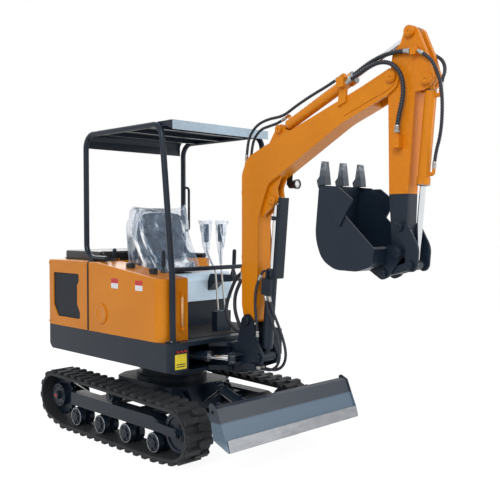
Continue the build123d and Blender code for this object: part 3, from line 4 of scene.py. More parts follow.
import bmesh
import bpy
import numpy as np
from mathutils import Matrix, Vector


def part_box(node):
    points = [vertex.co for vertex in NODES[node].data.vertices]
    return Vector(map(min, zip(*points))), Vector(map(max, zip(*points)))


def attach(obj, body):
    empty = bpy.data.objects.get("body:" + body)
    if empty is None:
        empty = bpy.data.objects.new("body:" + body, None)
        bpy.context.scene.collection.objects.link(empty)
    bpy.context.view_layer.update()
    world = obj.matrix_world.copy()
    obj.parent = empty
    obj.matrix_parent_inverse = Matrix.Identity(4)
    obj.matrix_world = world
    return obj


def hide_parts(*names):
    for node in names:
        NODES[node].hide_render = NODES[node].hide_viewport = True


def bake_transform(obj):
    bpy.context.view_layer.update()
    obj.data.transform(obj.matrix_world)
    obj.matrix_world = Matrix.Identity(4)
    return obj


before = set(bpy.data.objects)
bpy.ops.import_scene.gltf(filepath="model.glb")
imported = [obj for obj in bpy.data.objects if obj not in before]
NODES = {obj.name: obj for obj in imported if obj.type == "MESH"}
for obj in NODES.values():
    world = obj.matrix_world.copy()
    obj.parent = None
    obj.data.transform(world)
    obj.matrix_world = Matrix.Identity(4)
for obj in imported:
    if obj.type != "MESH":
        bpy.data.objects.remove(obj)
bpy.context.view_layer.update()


def middle(node):
    low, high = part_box(node)
    return (np.array(low) + np.array(high)) / 2


# The part is drawn with x = 0 on the slew axis, where the swing post's pin stands at 810 mm.
SHIFT = 0.810 - float(middle("swing_pin")[0])


def at(x, y, z):
    """A point of the part's drawing, in millimetres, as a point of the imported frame."""
    return (x / 1000 - SHIFT, y / 1000, z / 1000)


# Camera at the photograph's viewing angle
CAMERA_AT = at(4700, -3749, 1650)
TURN, DOWN = math.radians(45.378), math.radians(1.935)
SENSOR_WIDTH = 36
FOCAL_PIXELS, FRAME_PIXELS = 742.5, 500


def make_camera():
    data = bpy.data.cameras.new("camera")
    data.sensor_width = SENSOR_WIDTH
    data.lens = SENSOR_WIDTH * FOCAL_PIXELS / FRAME_PIXELS
    camera = bpy.data.objects.new("camera", data)
    bpy.context.scene.collection.objects.link(camera)
    look = Vector((-math.sin(TURN) * math.cos(DOWN), math.cos(TURN) * math.cos(DOWN), -math.sin(DOWN)))
    camera.location = CAMERA_AT
    camera.rotation_mode = "QUATERNION"
    camera.rotation_quaternion = look.to_track_quat("-Z", "Y")
    bpy.context.scene.camera = camera


make_camera()


# Meshes from grids of points

def piece(name, points, faces, smooth=True, uv=None, outwards=False):
    """An object at the origin from arrays of points and faces."""
    mesh = bpy.data.meshes.new(name)
    mesh.from_pydata(np.asarray(points, float).tolist(), [], [list(map(int, f)) for f in faces])
    if uv is not None:
        layer = mesh.uv_layers.new(name="UVMap")
        corners = np.empty(len(mesh.loops), int)
        mesh.loops.foreach_get("vertex_index", corners)
        layer.data.foreach_set("uv", np.asarray(uv, np.float32)[corners].ravel())
    mesh.validate()
    if outwards:
        work = bmesh.new()
        work.from_mesh(mesh)
        bmesh.ops.recalc_face_normals(work, faces=work.faces)
        work.to_mesh(mesh)
        work.free()
    mesh.polygons.foreach_set("use_smooth", np.full(len(mesh.polygons), smooth))
    made = bpy.data.objects.new(name, mesh)
    bpy.context.scene.collection.objects.link(made)
    return made


def grid_faces(rows, columns, around=False):
    """Quads of a grid of rows by columns, closed across its columns where it goes around."""
    width = columns if around else columns - 1
    r, c = np.meshgrid(np.arange(rows - 1), np.arange(width), indexing="ij")
    here, right = r * columns + c, r * columns + (c + 1) % columns
    return np.stack([here, right, right + columns, here + columns], -1).reshape(-1, 4)


def carried_frames(path):
    """Unit tangent and two unit normals at each point of a path, each normal the last one
    less its part along the new tangent, so that the frame never twists about the path."""
    tangent = np.gradient(path, axis=0)
    tangent /= np.linalg.norm(tangent, axis=1)[:, None]
    first = np.cross(tangent[0], [0, 0, 1.0])
    if np.linalg.norm(first) < 0.1:
        first = np.cross(tangent[0], [0, 1.0, 0])
    normals = [first / np.linalg.norm(first)]
    for t in tangent[1:]:
        n = normals[-1] - t * np.dot(normals[-1], t)
        normals.append(n / np.linalg.norm(n))
    normals = np.array(normals)
    return tangent, normals, np.cross(tangent, normals)


def ended(points):
    """Points and faces of a grid of closed rings, with a face over each end."""
    rows, columns = points.shape[:2]
    faces = grid_faces(rows, columns, around=True).tolist()
    faces += [list(range(columns))[::-1], list(range((rows - 1) * columns, rows * columns))]
    return points.reshape(-1, 3), faces


def skin_round(path, radius, sides, ridge=0.0, pitch=0.016):
    """Skin along a path: the point at angle a is the path's point plus both normals times the
    radius, with a groove that winds once round in each pitch."""
    path = np.asarray(path, float)
    _, normal, other = carried_frames(path)
    length = np.concatenate([[0], np.cumsum(np.linalg.norm(np.diff(path, axis=0), axis=1))])
    angle = np.linspace(0, 2 * np.pi, sides, endpoint=False)
    turn = length[:, None] / pitch - angle[None, :] / (2 * np.pi)
    swell = radius - ridge * np.abs(np.sin(np.pi * turn)) ** 3
    ring = normal[:, None] * np.cos(angle)[None, :, None] + other[:, None] * np.sin(angle)[None, :, None]
    return path[:, None] + ring * swell[..., None]


def bead(path, radius):
    """A round bead along a path, with both ends closed."""
    return ended(skin_round(path, radius, 10))


def turned(spot, way, profile, sides=24):
    """A closed surface of revolution: each ring lies at its height along the axis and its radius from it,
    both in millimetres."""
    way = np.array(way, float) / np.linalg.norm(way)
    side = np.cross(way, [0, 0, 1.0] if abs(way[2]) < 0.9 else [0, 1.0, 0])
    side /= np.linalg.norm(side)
    angle = np.linspace(0, 2 * np.pi, sides, endpoint=False)
    ring = np.cos(angle)[:, None] * side + np.sin(angle)[:, None] * np.cross(way, side)
    radius, height = np.asarray(profile, float).T / 1000
    return ended(np.asarray(spot) + height[:, None, None] * way + radius[:, None, None] * ring)


def bolt(spot, way, r):
    """A hexagon head with a chamfered top, on a washer."""
    washer = turned(spot, way, [(1.45 * r, -1), (1.45 * r, 0.22 * r), (1.3 * r, 0.3 * r)], 18)
    head = turned(spot, way, [(r, 0.2 * r), (r, 0.85 * r), (0.84 * r, r)], 6)
    return [washer, head]


def round_about(spot, way, radius, count, first=0.0):
    """Spots at even steps on a circle about an axis along X, Y or Z, its radius in millimetres; about a
    slanted axis they lie a little closer in."""
    way = np.array(way, float) / np.linalg.norm(way)
    side = np.cross(way, [0, 0, 1.0] if abs(way[2]) < 0.9 else [0, 1.0, 0])
    angle = first + np.arange(count) * 2 * np.pi / count
    return np.asarray(spot) + radius / 1000 * (
        np.cos(angle)[:, None] * side + np.sin(angle)[:, None] * np.cross(way, side))


def pad_plate(spot, across, up, size, corner, thick, lip=0.6):
    """A plate with rounded corners and a chamfered rim: the outline at its foot, at its rim and inside its
    lip. Its size is its whole width and height, in millimetres."""
    across, up = np.array(across, float), np.array(up, float)
    out = np.cross(across, up)
    a = np.linspace(0, np.pi / 2, 7)

    def outline(inset):
        half, r = np.array(size) / 2 - inset, corner - inset
        arcs = [np.stack([np.cos(a + k * np.pi / 2), np.sin(a + k * np.pi / 2)], -1) * r
                + np.array([[1, 1], [-1, 1], [-1, -1], [1, -1]][k]) * (half - r) for k in range(4)]
        return np.concatenate(arcs) / 1000

    rows = [(0.0, -0.5), (0.0, thick - lip), (lip, thick)]
    return ended(np.array([np.asarray(spot) + (flat @ np.array([across, up])) + out * height / 1000
                           for flat, height in ((outline(inset), height) for inset, height in rows)]))


def dressed(name, shapes, body, finish, smooth=False):
    """One object of several shapes, that rides on a body."""
    points, faces, count = [], [], 0
    for spots, sides in shapes:
        points.append(spots)
        faces += [[i + count for i in side] for side in sides]
        count += len(spots)
    made = piece(name, np.concatenate(points), faces, smooth=smooth, outwards=True)
    made.data.materials.append(finish)
    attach(made, body)
    return made


def shaded_by_angle(made, degrees=35):
    """Smooth faces with the edges sharp where they turn by more than an angle."""
    made.data.polygons.foreach_set("use_smooth", np.full(len(made.data.polygons), True))
    made.data.set_sharp_from_angle(angle=math.radians(degrees))


# Hoses: the routes of the part's source, as control points of NURBS splines

def spline_points(route):
    """The centre line of a hose, read from a NURBS spline with the route's points as control points."""
    curve = bpy.data.curves.new("route", "CURVE")
    curve.dimensions = "3D"
    curve.resolution_u = 24
    run = curve.splines.new("NURBS")
    run.points.add(len(route) - 1)
    for point, spot in zip(run.points, route):
        point.co = (*spot, 1)
    run.order_u = 3
    run.use_endpoint_u = True
    holder = bpy.data.objects.new("route", curve)
    bpy.context.scene.collection.objects.link(holder)
    mesh = bpy.data.meshes.new_from_object(holder)
    line = np.empty(len(mesh.vertices) * 3)
    mesh.vertices.foreach_get("co", line)
    bpy.data.objects.remove(holder)
    line = line.reshape(-1, 3)
    keep = np.concatenate([[True], np.linalg.norm(np.diff(line, axis=0), axis=1) > 1e-5])
    return line[keep]


def evenly(line, step):
    """A line's points moved to even steps along its own length."""
    length = np.concatenate([[0], np.cumsum(np.linalg.norm(np.diff(line, axis=0), axis=1))])
    spots = np.linspace(0, length[-1], max(8, int(length[-1] / step)))
    return np.stack([np.interp(spots, length, line[:, k]) for k in range(3)], -1), length[-1]


def beside(base, eye, far, side, out):
    """A point beside a cylinder, in millimetres: far along from its base, out from its axis, side along Y."""
    run = np.array([eye[0] - base[0], eye[1] - base[1]], float)
    run /= np.linalg.norm(run)
    return (base[0] + run[0] * far - run[1] * out, side, base[1] + run[1] * far + run[0] * out)


# Each cylinder's base pin and rod pin: their x and z at rest
BOOM_CYLINDER = (1068, 722), (1168, 1820)
ARM_CYLINDER = (1225, 2302), (2270, 2768)
BUCKET_CYLINDER = (2385, 2480), (2290, 1415)

HOSES = {
    "post_hose_a": ("post_hoses", 28, [
        (836, 14, 1316), (772, 0, 1284), (722, -16, 1180), (676, -28, 1050), (690, -30, 965),
        (748, -26, 897), (812, -14, 868), (878, 0, 842)]),
    "post_hose_b": ("post_hoses", 28, [
        (860, -26, 1298), (846, -46, 1235), (800, -52, 1148), (794, -52, 1052), (814, -50, 982),
        (852, -48, 914), (884, -44, 851)]),
    "barrel_hose_side": ("barrel_hoses", 22, [
        beside(*BOOM_CYLINDER, 577.4, -64.4, 43.5), (1056, -74, 1258), (1044, -82, 1204),
        (1038, -86, 1125), (1042, -86, 1035), (1055, -84, 945), (1058, -81, 868)]),
    "barrel_hose_right": ("barrel_hoses", 22, [
        beside(*BOOM_CYLINDER, 440.2, -58, -4), (1138, -68, 1085), (1192, -82, 1000), (1262, -94, 885),
        (1291, -101, 795), (1284, -102, 718), (1236, -102, 664), (1160, -101, 652), (1076, -101, 656)]),
    "barrel_hose_front": ("barrel_hoses", 22, [
        beside(*BOOM_CYLINDER, 440.6, -60, -42), (1176, -60, 1070), (1240, -60, 962), (1296, -60, 842),
        (1311, -60, 760), (1286, -60, 692), (1226, -60, 654), (1150, -59, 648), (1076, -59, 654)]),
    "top_hose_left": ("top_hoses", 22, [
        (888, 22, 2109), (896, 22, 2185), (926, 17, 2268), (1000, 8, 2325), (1090, 2, 2338),
        beside(*ARM_CYLINDER, -19, 0, 62), beside(*ARM_CYLINDER, 55, 0, 62)]),
    "top_hose_right": ("top_hoses", 22, [
        (888, -22, 2109), (896, -23, 2185), (922, -27, 2280), (1000, -30, 2352), (1110, -31, 2382),
        beside(*ARM_CYLINDER, 60, -31, 66), beside(*ARM_CYLINDER, 190, -29, 71),
        beside(*ARM_CYLINDER, 330, -20, 69), beside(*ARM_CYLINDER, 478.6, -2, 62),
        beside(*ARM_CYLINDER, 568.6, 0, 62)]),
    "arm_hose_side": ("arm_hoses", 28, [
        (1842, -94, 2525), (1920, -92, 2560), (2012, -91, 2600), (2094, -90, 2616), (2176, -89, 2592),
        (2232, -87, 2530), (2252, -86, 2436), (2238, -86, 2349), (2214, -85, 2272), (2204, -84, 2190)]),
    "arm_hose_top": ("arm_hoses", 28, [
        (1842, -67, 2552), (1938, -70, 2602), (2044, -72, 2642), (2130, -72, 2658), (2210, -72, 2660),
        (2284, -72, 2650)]),
    "bucket_hose_far": ("bucket_hoses", 22, [
        (2336, -72, 2641), (2398, -72, 2608), (2448, -68, 2540), (2480, -58, 2437), (2480, -42, 2300),
        (2456, -20, 2160), beside(*BUCKET_CYLINDER, 419.8, -2, 64),
        beside(*BUCKET_CYLINDER, 503.8, 0, 62)]),
    "bucket_hose_near": ("bucket_hoses", 22, [
        (2336, 70, 2643), (2390, 66, 2620), (2436, 46, 2574), (2458, 20, 2520),
        beside(*BUCKET_CYLINDER, -5, 2, 65), beside(*BUCKET_CYLINDER, 55, 0, 62)]),
}
# The two bodies that each node of hoses joins
CROSSINGS = {
    "post_hoses": ("swing_post", "boom"), "barrel_hoses": ("swing_post", "boom_barrel"),
    "top_hoses": ("boom", "arm_barrel"), "arm_hoses": ("boom", "arm"),
    "bucket_hoses": ("arm", "bucket_barrel"),
}

HOSE_STEP = 0.0028
GROOVE_DEPTH, GROOVE_PITCH = 0.0024, 0.0165


def make_hoses():
    """Each hose is a skin round its spline, with a spiral groove, kept with the two bodies it joins."""
    found = []
    for name, (node, thick, route) in HOSES.items():
        points = [at(*spot) for spot in route]
        line, length = evenly(spline_points(points), HOSE_STEP)
        shape = ended(skin_round(line, thick / 2000, 18, GROOVE_DEPTH, GROOVE_PITCH))
        skin = piece(name, *shape, outwards=True)
        first, second = CROSSINGS[node]
        turned_round = node in ("post_hoses", "barrel_hoses")
        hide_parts(node)
        thick / 1000
        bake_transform(skin)
        found.append((skin, line, thick, (second, first) if turned_round else (first, second)))
    return found


hose_pieces = make_hoses()


# Materials

class Socket:
    """An output of a node. Arithmetic on it adds Math nodes."""

    def __init__(self, finish, out):
        self.finish, self.out = finish, out

    def math(self, operation, *others, first=None):
        values = [self, *others] if first is None else [first, self]
        return self.finish.node("ShaderNodeMath", {"operation": operation}, values)

    def __add__(self, other):
        return self.math("ADD", other)

    __radd__ = __add__

    def __sub__(self, other):
        return self.math("SUBTRACT", other)

    def __rsub__(self, other):
        return self.math("SUBTRACT", first=other)

    def __mul__(self, other):
        return self.math("MULTIPLY", other)

    __rmul__ = __mul__

    def __truediv__(self, other):
        return self.math("DIVIDE", other)

    def __pow__(self, other):
        return self.math("POWER", other)

    def between(self, low, high):
        """0 at low and 1 at high, and straight in between."""
        return self.finish.node("ShaderNodeMapRange", {}, {0: self, 1: low, 2: high, 3: 0.0, 4: 1.0})


class Finish:
    """A material on the Principled shader, with one method that adds any node."""

    def __init__(self, name, **constants):
        self.material = bpy.data.materials.new(name)
        self.material.use_nodes = True
        self.tree = self.material.node_tree
        self.shader = self.tree.nodes["Principled BSDF"]
        for key, value in constants.items():
            self.put(key.replace("_", " ").title().replace("Ior", "IOR"), value)
        self.place = self.node("ShaderNodeTexCoord", out="Object")

    def put(self, name, value):
        if isinstance(value, Socket):
            self.tree.links.new(value.out, self.shader.inputs[name])
        else:
            value = (*value, 1) if isinstance(value, tuple) and len(value) == 3 else value
            self.shader.inputs[name].default_value = value

    def node(self, kind, settings=(), inputs=(), out=0):
        made = self.tree.nodes.new(kind)
        for key, value in dict(settings).items():
            setattr(made, key, value)
        for key, value in (inputs.items() if isinstance(inputs, dict) else enumerate(inputs)):
            if isinstance(value, Socket):
                self.tree.links.new(value.out, made.inputs[key])
            else:
                made.inputs[key].default_value = value
        return Socket(self, made.outputs[out])

    def noise(self, scale, detail=3.0, rough=0.55, squeeze=None):
        where = self.place
        if squeeze:
            where = self.node("ShaderNodeMapping", {}, {"Vector": where, "Scale": squeeze})
        return self.node("ShaderNodeTexNoise", {},
                         {"Vector": where, "Scale": scale, "Detail": detail, "Roughness": rough})

    def axes(self):
        split = self.node("ShaderNodeSeparateXYZ", {}, {0: self.place})
        return [Socket(self, o) for o in split.out.node.outputs]

    def blend(self, share, a, b):
        """Colour a where the share is 0, and b where it is 1."""
        a, b = [(*c, 1) if isinstance(c, tuple) and len(c) == 3 else c for c in (a, b)]
        return self.node("ShaderNodeMix", {"data_type": "RGBA"}, {0: share, 6: a, 7: b}, out=2)

    def bump(self, height, distance):
        self.put("Normal", self.node("ShaderNodeBump", {},
                                     {"Height": height, "Distance": distance, "Strength": 1.0}))


ORANGE_PEEL = 0.00006


def painted(name, colour, dark, rough, dust, coat=0.0, chips=0.0, primer=None, gloss=0.3):
    """Sprayed steel: slow changes of shade, orange peel, dust that gathers low down, and small chips."""
    f = Finish(name, specular_ior_level=gloss, coat_roughness=0.12)
    broad, fine = f.noise(2.2, 4), f.noise(38, 4, 0.6)
    shade = f.blend((broad * 0.7 + fine * 0.3).between(0.35, 0.65), dark, colour)
    height = f.axes()[2]
    low = (1 - height.between(0.15, 1.1)) * 0.7 + 0.3
    settled = (f.noise(7, 6, 0.7).between(0.45, 0.75) * low) * dust
    shade = f.blend(settled, shade, (0.36, 0.33, 0.29))
    rough_now = rough + settled * 0.35 + (fine - 0.5) * 0.12
    if chips:
        spots = f.noise(95, 2, 0.5).between(0.70, 0.74) * f.noise(5, 3).between(0.5, 0.65) * chips
        shade = f.blend(spots, shade, primer)
        rough_now = rough_now + spots * 0.3
    f.put("Base Color", shade)
    f.put("Roughness", rough_now)
    f.put("Coat Weight", coat)
    f.bump(f.noise(260, 2), ORANGE_PEEL)
    return f.material


def rubber(name, colour, rough, dust):
    """Dusty rubber: a fine grain, paler in its hollows."""
    f = Finish(name, specular_ior_level=0.35)
    grain = f.noise(120, 5, 0.65)
    cloud = f.noise(9, 5, 0.7).between(0.38, 0.72) * dust
    pale = tuple(0.55 * c + 0.10 for c in colour)
    f.put("Base Color", f.blend(cloud * (0.6 + grain * 0.8), colour, pale))
    f.put("Roughness", rough + cloud * 0.15 + (grain - 0.5) * 0.1)
    f.bump(grain, 0.0006)
    return f.material


def bare_metal(name, colour, rough, scratch, streak=(1, 1, 1)):
    """Bare steel with fine scratches along one way."""
    f = Finish(name, metallic=1.0)
    lines = f.noise(60, 4, 0.6, squeeze=streak)
    cloud = f.noise(6, 4, 0.6)
    worn = tuple(0.6 * c for c in colour)
    f.put("Base Color", f.blend((cloud * 0.6 + lines * 0.4).between(0.3, 0.7), worn, colour))
    f.put("Roughness", rough + (lines - 0.5) * scratch + (cloud - 0.5) * 0.1)
    f.bump(lines, 0.00006)
    return f.material


ORANGE = painted("orange_paint", (0.64, 0.212, 0.004), (0.57, 0.181, 0.003), 0.34, dust=0.03, coat=0.12,
                 chips=0.2, primer=(0.16, 0.06, 0.02), gloss=0.2)
DARK = painted("dark_paint", (0.009, 0.017, 0.030), (0.006, 0.012, 0.022), 0.36, dust=0.02, coat=0.06,
               chips=0.25, primer=(0.05, 0.05, 0.05), gloss=0.22)
BLACK = painted("black_paint", (0.010, 0.011, 0.013), (0.006, 0.007, 0.008), 0.34, dust=0.03, coat=0.25)
# painted reflection: the seat console's pale blue stands in for the sky its sloped face reflects, and is made
# lighter to offset the shade it sits in
CONSOLE_SKY_TINT = painted("pale_grey_paint", (0.66, 0.82, 0.95), (0.60, 0.76, 0.89), 0.42, dust=0.04)
STEEL = bare_metal("worn_steel", (0.30, 0.31, 0.33), 0.36, 0.3, streak=(1, 0.15, 1))
ZINC = bare_metal("zinc_plate", (0.50, 0.50, 0.48), 0.34, 0.1)
RUBBER = rubber("track_rubber", (0.012, 0.014, 0.017), 0.66, dust=0.12)
HOSE = rubber("hose_rubber", (0.009, 0.012, 0.020), 0.33, dust=0.06)
IRON = painted("engine_iron", (0.09, 0.09, 0.095), (0.05, 0.05, 0.052), 0.6, dust=0.2)
for skin, *_ in hose_pieces:
    skin.data.materials.append(HOSE)


def blade_finish():
    """The blade's dark paint with painted sky reflections: grey-blue below its upper crease, where the lower
    facet reflects the sky, and near the edge a pale band that is partly ground bright steel and partly painted
    reflection.
    """
    f = Finish("blade_paint", specular_ior_level=0.4)
    z = f.axes()[2]
    scratch = f.noise(70, 4, 0.6, squeeze=(1, 0.12, 1))
    ragged = z + (f.noise(5, 5, 0.65) - 0.5) * 0.05
    # painted reflection: the grey-blue below the crease stands in for the sky on the lower facet; the dark
    # above is the blade's paint
    paint = f.blend(z.between(0.400, 0.412), (0.080, 0.125, 0.175), (0.018, 0.027, 0.042))
    # the pale band near the edge: partly ground bright steel, partly painted sky reflection
    bright = (1 - ragged.between(0.20, 0.31)) * scratch.between(0.25, 0.60)
    f.put("Base Color", f.blend(bright, paint, (0.30, 0.40, 0.48)))
    f.put("Metallic", bright * 0.55)
    f.put("Roughness", 0.40 + (scratch - 0.5) * 0.3 - bright * 0.06)
    f.bump(scratch, 0.00012)
    return f.material


BLADE = blade_finish()


def mesh_finish():
    """Black half-gloss sheet with rows of round holes drawn on it: the holes are painted shade, darker than the
    sheet, for the shade seen through them.
    """
    f = Finish("pierced_sheet", specular_ior_level=0.22)
    x, _, z = f.axes()
    pitch = 0.0085
    across = ((x / pitch).math("FRACT") - 0.5) ** 2
    up = ((z / pitch).math("FRACT") - 0.5) ** 2
    hole = 1 - (across + up).between(0.075, 0.11)
    # painted shade: each hole is coloured darker than the sheet, for the shade seen through it
    f.put("Base Color", f.blend(hole, (0.013, 0.018, 0.027), (0.004, 0.005, 0.008)))
    f.put("Roughness", 0.4 + hole * 0.5)
    f.bump(1 - hole, 0.0012)
    return f.material


MESH_SHEET = mesh_finish()


def vinyl_finish():
    """Black seat vinyl with a pebbled grain."""
    f = Finish("seat_vinyl", specular_ior_level=0.45)
    grain = f.node("ShaderNodeTexVoronoi", {}, {"Vector": f.place, "Scale": 420.0})
    cloud = f.noise(11, 4)
    f.put("Base Color", f.blend(cloud.between(0.3, 0.7), (0.010, 0.014, 0.024), (0.022, 0.028, 0.042)))
    f.put("Roughness", 0.46 + (cloud - 0.5) * 0.15)
    f.bump(grain, 0.00035)
    return f.material


VINYL = vinyl_finish()

DRESS = {
    ORANGE: ["rear_covers", "tank_cover", "left_cover", "sight_gauge", "boom", "boom_pipes", "arm_barrel",
             "bucket_barrel"],
    DARK: ["centre_frame", "track_frame_right", "track_frame_left", "track_rollers", "idlers", "sprockets",
           "travel_motors", "house_frame", "swing_post", "canopy_frame", "blade_barrel", "swing_barrel",
           "side_links", "bucket_link", "bucket", "slew_ring", "swing_pin", "seat_base", "boom_barrel",
           "rod_guard"],
    BLACK: ["engine_hood", "tank_caps", "work_lamp"],
    # the seat console: painted sky reflection
    CONSOLE_SKY_TINT: ["seat_console"],
    BLADE: ["blade", "blade_arms"],
    STEEL: ["blade_edge"],
    RUBBER: ["track_right", "track_left"],
    MESH_SHEET: ["window_meshes"],
    IRON: ["engine_block"],
}


def two_tone(name, share_of, far, near, metal=0.0):
    """Near colours where the share is 1, far ones where it is 0: the shade wanders between each pair."""
    f = Finish(name, specular_ior_level=0.24, coat_roughness=0.12, coat_weight=0.08)
    fine = f.noise(38, 4, 0.6)
    share = share_of(*f.axes())
    wander = fine.between(0.3, 0.7)
    f.put("Base Color", f.blend(share, f.blend(wander, *far), f.blend(wander, *near)))
    f.put("Roughness", 0.37 + (fine - 0.5) * 0.15)
    if metal:
        f.put("Metallic", share * metal)
    f.bump(f.noise(260, 2), ORANGE_PEEL)
    return f.material


def rod_finish(node, eye, reach):
    """Chrome along the rod and dark paint on its eye, which reaches a distance from the pin."""
    f = Finish(f"{node}_finish", specular_ior_level=0.4)
    away = f.node("ShaderNodeVectorMath", {"operation": "DISTANCE"}, [f.place, eye], out="Value")
    chrome = away.between(reach, reach + 0.001)
    lines = f.noise(60, 4, 0.6)
    f.put("Base Color", f.blend(chrome, (0.012, 0.019, 0.030), (0.72, 0.74, 0.76)))
    f.put("Metallic", chrome)
    f.put("Roughness", 0.42 - chrome * 0.32 + (lines - 0.5) * 0.06)
    return f.material


def teeth_finish():
    """Cast steel in worn dark paint, bright towards the tips where it grinds."""
    f = Finish("tooth_steel", specular_ior_level=0.4)
    grain = f.noise(45, 5, 0.65)
    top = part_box("bucket_teeth")[1][2]
    worn = f.axes()[2].between(top - 0.10, top) * grain.between(0.38, 0.62)
    f.put("Base Color", f.blend(worn, (0.030, 0.042, 0.058), (0.28, 0.31, 0.34)))
    f.put("Metallic", worn * 0.8)
    f.put("Roughness", 0.46 + (grain - 0.5) * 0.2)
    f.bump(grain, 0.0006)
    return f.material


DRESS[teeth_finish()] = ["bucket_teeth"]

# The darker and the lighter shade of each paint on a piece of two colours; the pale pair is a painted sky
# reflection on the roof's front flange
ORANGE_PAIR = (0.57, 0.170, 0.003), (0.64, 0.200, 0.004)
DARK_PAIR = (0.006, 0.012, 0.022), (0.009, 0.017, 0.030)
FLANGE_REFLECTION_PAIR = (0.32, 0.42, 0.51), (0.37, 0.48, 0.57)
STEM_PAIR = (0.48, 0.48, 0.47), (0.60, 0.60, 0.59)
ARM_SPLIT = 1.8325, 1.8335
FLANGE_DEPTH, PAINT_EDGE = 0.004, 0.001
STEM_LOW, STEM_HIGH = at(430, 0, 990), at(470, 0, 1516)


def above_split(x, y, z):
    return z.between(*ARM_SPLIT)


# The roof's front flange, where the pale colour is a painted sky reflection
def on_front_flange(x, y, z):
    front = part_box("canopy_roof")[1][0] - FLANGE_DEPTH
    return x.between(front - PAINT_EDGE, front)


def on_stems(x, y, z):
    """1 inside the box that holds the levers' bright stems, 0 outside it."""
    inside = []
    for axis, k in ((x, 0), (z, 2)):
        inside.append((axis.between(STEM_LOW[k] - PAINT_EDGE, STEM_LOW[k]),
                       1 - axis.between(STEM_HIGH[k], STEM_HIGH[k] + PAINT_EDGE)))
    return inside[0][0] * inside[0][1] * inside[1][0] * inside[1][1]


DRESS[two_tone("arm_paint", above_split, DARK_PAIR, ORANGE_PAIR)] = ["arm"]
# the roof: its dark paint, with a painted sky reflection on its front flange
DRESS[two_tone("roof_paint_flange_reflection", on_front_flange, DARK_PAIR, FLANGE_REFLECTION_PAIR)] = ["canopy_roof"]
DRESS[two_tone("lever_finish", on_stems, DARK_PAIR, STEM_PAIR, metal=0.95)] = ["levers"]


def mat_finish():
    """Black rubber floor mat with fine ribs across it."""
    f = Finish("mat_rubber", specular_ior_level=0.35)
    x = f.axes()[0]
    rib = ((x / 0.011).math("FRACT") - 0.5).math("ABSOLUTE").between(0.2, 0.3)
    cloud = f.noise(9, 5, 0.7)
    f.put("Base Color", f.blend(cloud.between(0.4, 0.75), (0.012, 0.012, 0.013), (0.035, 0.034, 0.032)))
    f.put("Roughness", 0.62 + rib * 0.15)
    f.bump(rib, 0.0012)
    return f.material


DRESS[mat_finish()] = ["floor_mat"]

# Each cylinder's base pin and rod pin as points of the frame, and how far the rod's dark eye reaches
CYLINDERS = {
    "boom": (*(at(x, 0, z) for x, z in BOOM_CYLINDER), 0.036),
    "arm": (*(at(x, 0, z) for x, z in ARM_CYLINDER), 0.036),
    "bucket": (*(at(x, 0, z) for x, z in BUCKET_CYLINDER), 0.036),
    "swing": (at(330, -300, 700), at(872, -145, 700), 0.036),
    "blade": (at(560, 0, 430), at(930, 0, 300), 0.034),
}
for name, (_, eye, reach) in CYLINDERS.items():
    DRESS[rod_finish(f"{name}_rod", eye, reach)] = [f"{name}_rod"]


def dress(material, node):
    slots = NODES[node].material_slots
    if not slots:
        NODES[node].data.materials.append(material)
    for slot in slots:
        slot.material = material


for material, nodes in DRESS.items():
    for node in nodes:
        dress(material, node)


# Fittings on what moves

def mesh_points(node):
    mesh = NODES[node].data
    spots = np.empty(len(mesh.vertices) * 3)
    mesh.vertices.foreach_get("co", spots)
    return spots.reshape(-1, 3)


def hose_ends():
    """A crimped sleeve and a nut at both ends of each hose, on the body that each end is screwed to."""
    by_body = {}
    for _, line, thick, (first, last) in hose_pieces:
        r = thick / 2
        for body, spot, next_spot in ((first, line[0], line[6]), (last, line[-1], line[-7])):
            way = next_spot - spot
            grooves = [(1.10 * r, 0.75 * r)]
            for i in range(4):
                low = 0.75 * r + 6 + i * 6
                grooves += [(1.12 * r, low - 1), (1.02 * r, low), (1.02 * r, low + 1.5)]
                grooves.append((1.12 * r, low + 2.5))
            grooves.append((1.03 * r, 0.75 * r + 31))
            sleeve = turned(spot, way, grooves, 20)
            facets = [(1.05 * r, -1.5), (1.22 * r, 0), (1.22 * r, 0.75 * r), (1.05 * r, 0.85 * r)]
            nut = turned(spot, way, facets, 6)
            by_body.setdefault(body, []).extend([sleeve, nut])
    for body, shapes in by_body.items():
        shaded_by_angle(dressed(f"hose_ends_{body}", shapes, body, ZINC))


hose_ends()

# The body that carries the pins, and each pin's x and z and its cap's radius
PINS = {
    "post_pins": ("swing_post", [((955, 975), 30), (BOOM_CYLINDER[0], 24)]),
    "boom_pins": ("boom", [(BOOM_CYLINDER[1], 24), (ARM_CYLINDER[0], 22), ((2155, 2520), 28)]),
    "arm_pins": ("arm", [(ARM_CYLINDER[1], 25), (BUCKET_CYLINDER[0], 25)]),
    "link_pins": ("side_links", [((2215, 1640), 23), (BUCKET_CYLINDER[1], 21)]),
    "bucket_pins": ("bucket", [((2205, 1488), 25), ((2105, 1360), 21)]),
}
BOSS_WALL = 13      # how far a boss reaches past its pin's cap


def pin_ends():
    """Each pin's round end with a grease nipple, and the bolt that keeps it from turning."""
    for name, (body, pins) in PINS.items():
        spots = mesh_points(body)
        shapes = []
        for (x, z), r in pins:
            middle_x, _, middle_z = at(x, 0, z)
            near = np.hypot(spots[:, 0] - middle_x, spots[:, 2] - middle_z) < (r + BOSS_WALL) / 1000
            for side in (-1, 1):
                face = (spots[near, 1] * side).max() * side
                spot, way = (middle_x, face, middle_z), (0, side, 0)
                shapes.append(turned(spot, way, [(r, -1), (r, 3), (r - 2.5, 5.5), (7, 5.5), (6, 4)], 28))
                shapes.append(turned(spot, way, [(4.5, 3), (4.5, 9), (2.2, 10), (3.4, 13), (1.6, 16)], 12))
                shapes += bolt((middle_x + (r * 0.62) / 1000, face + side * 0.005, middle_z), way, 4.5)
        shaded_by_angle(dressed(name, shapes, body, ORANGE if body in ("boom", "arm") else DARK))


pin_ends()


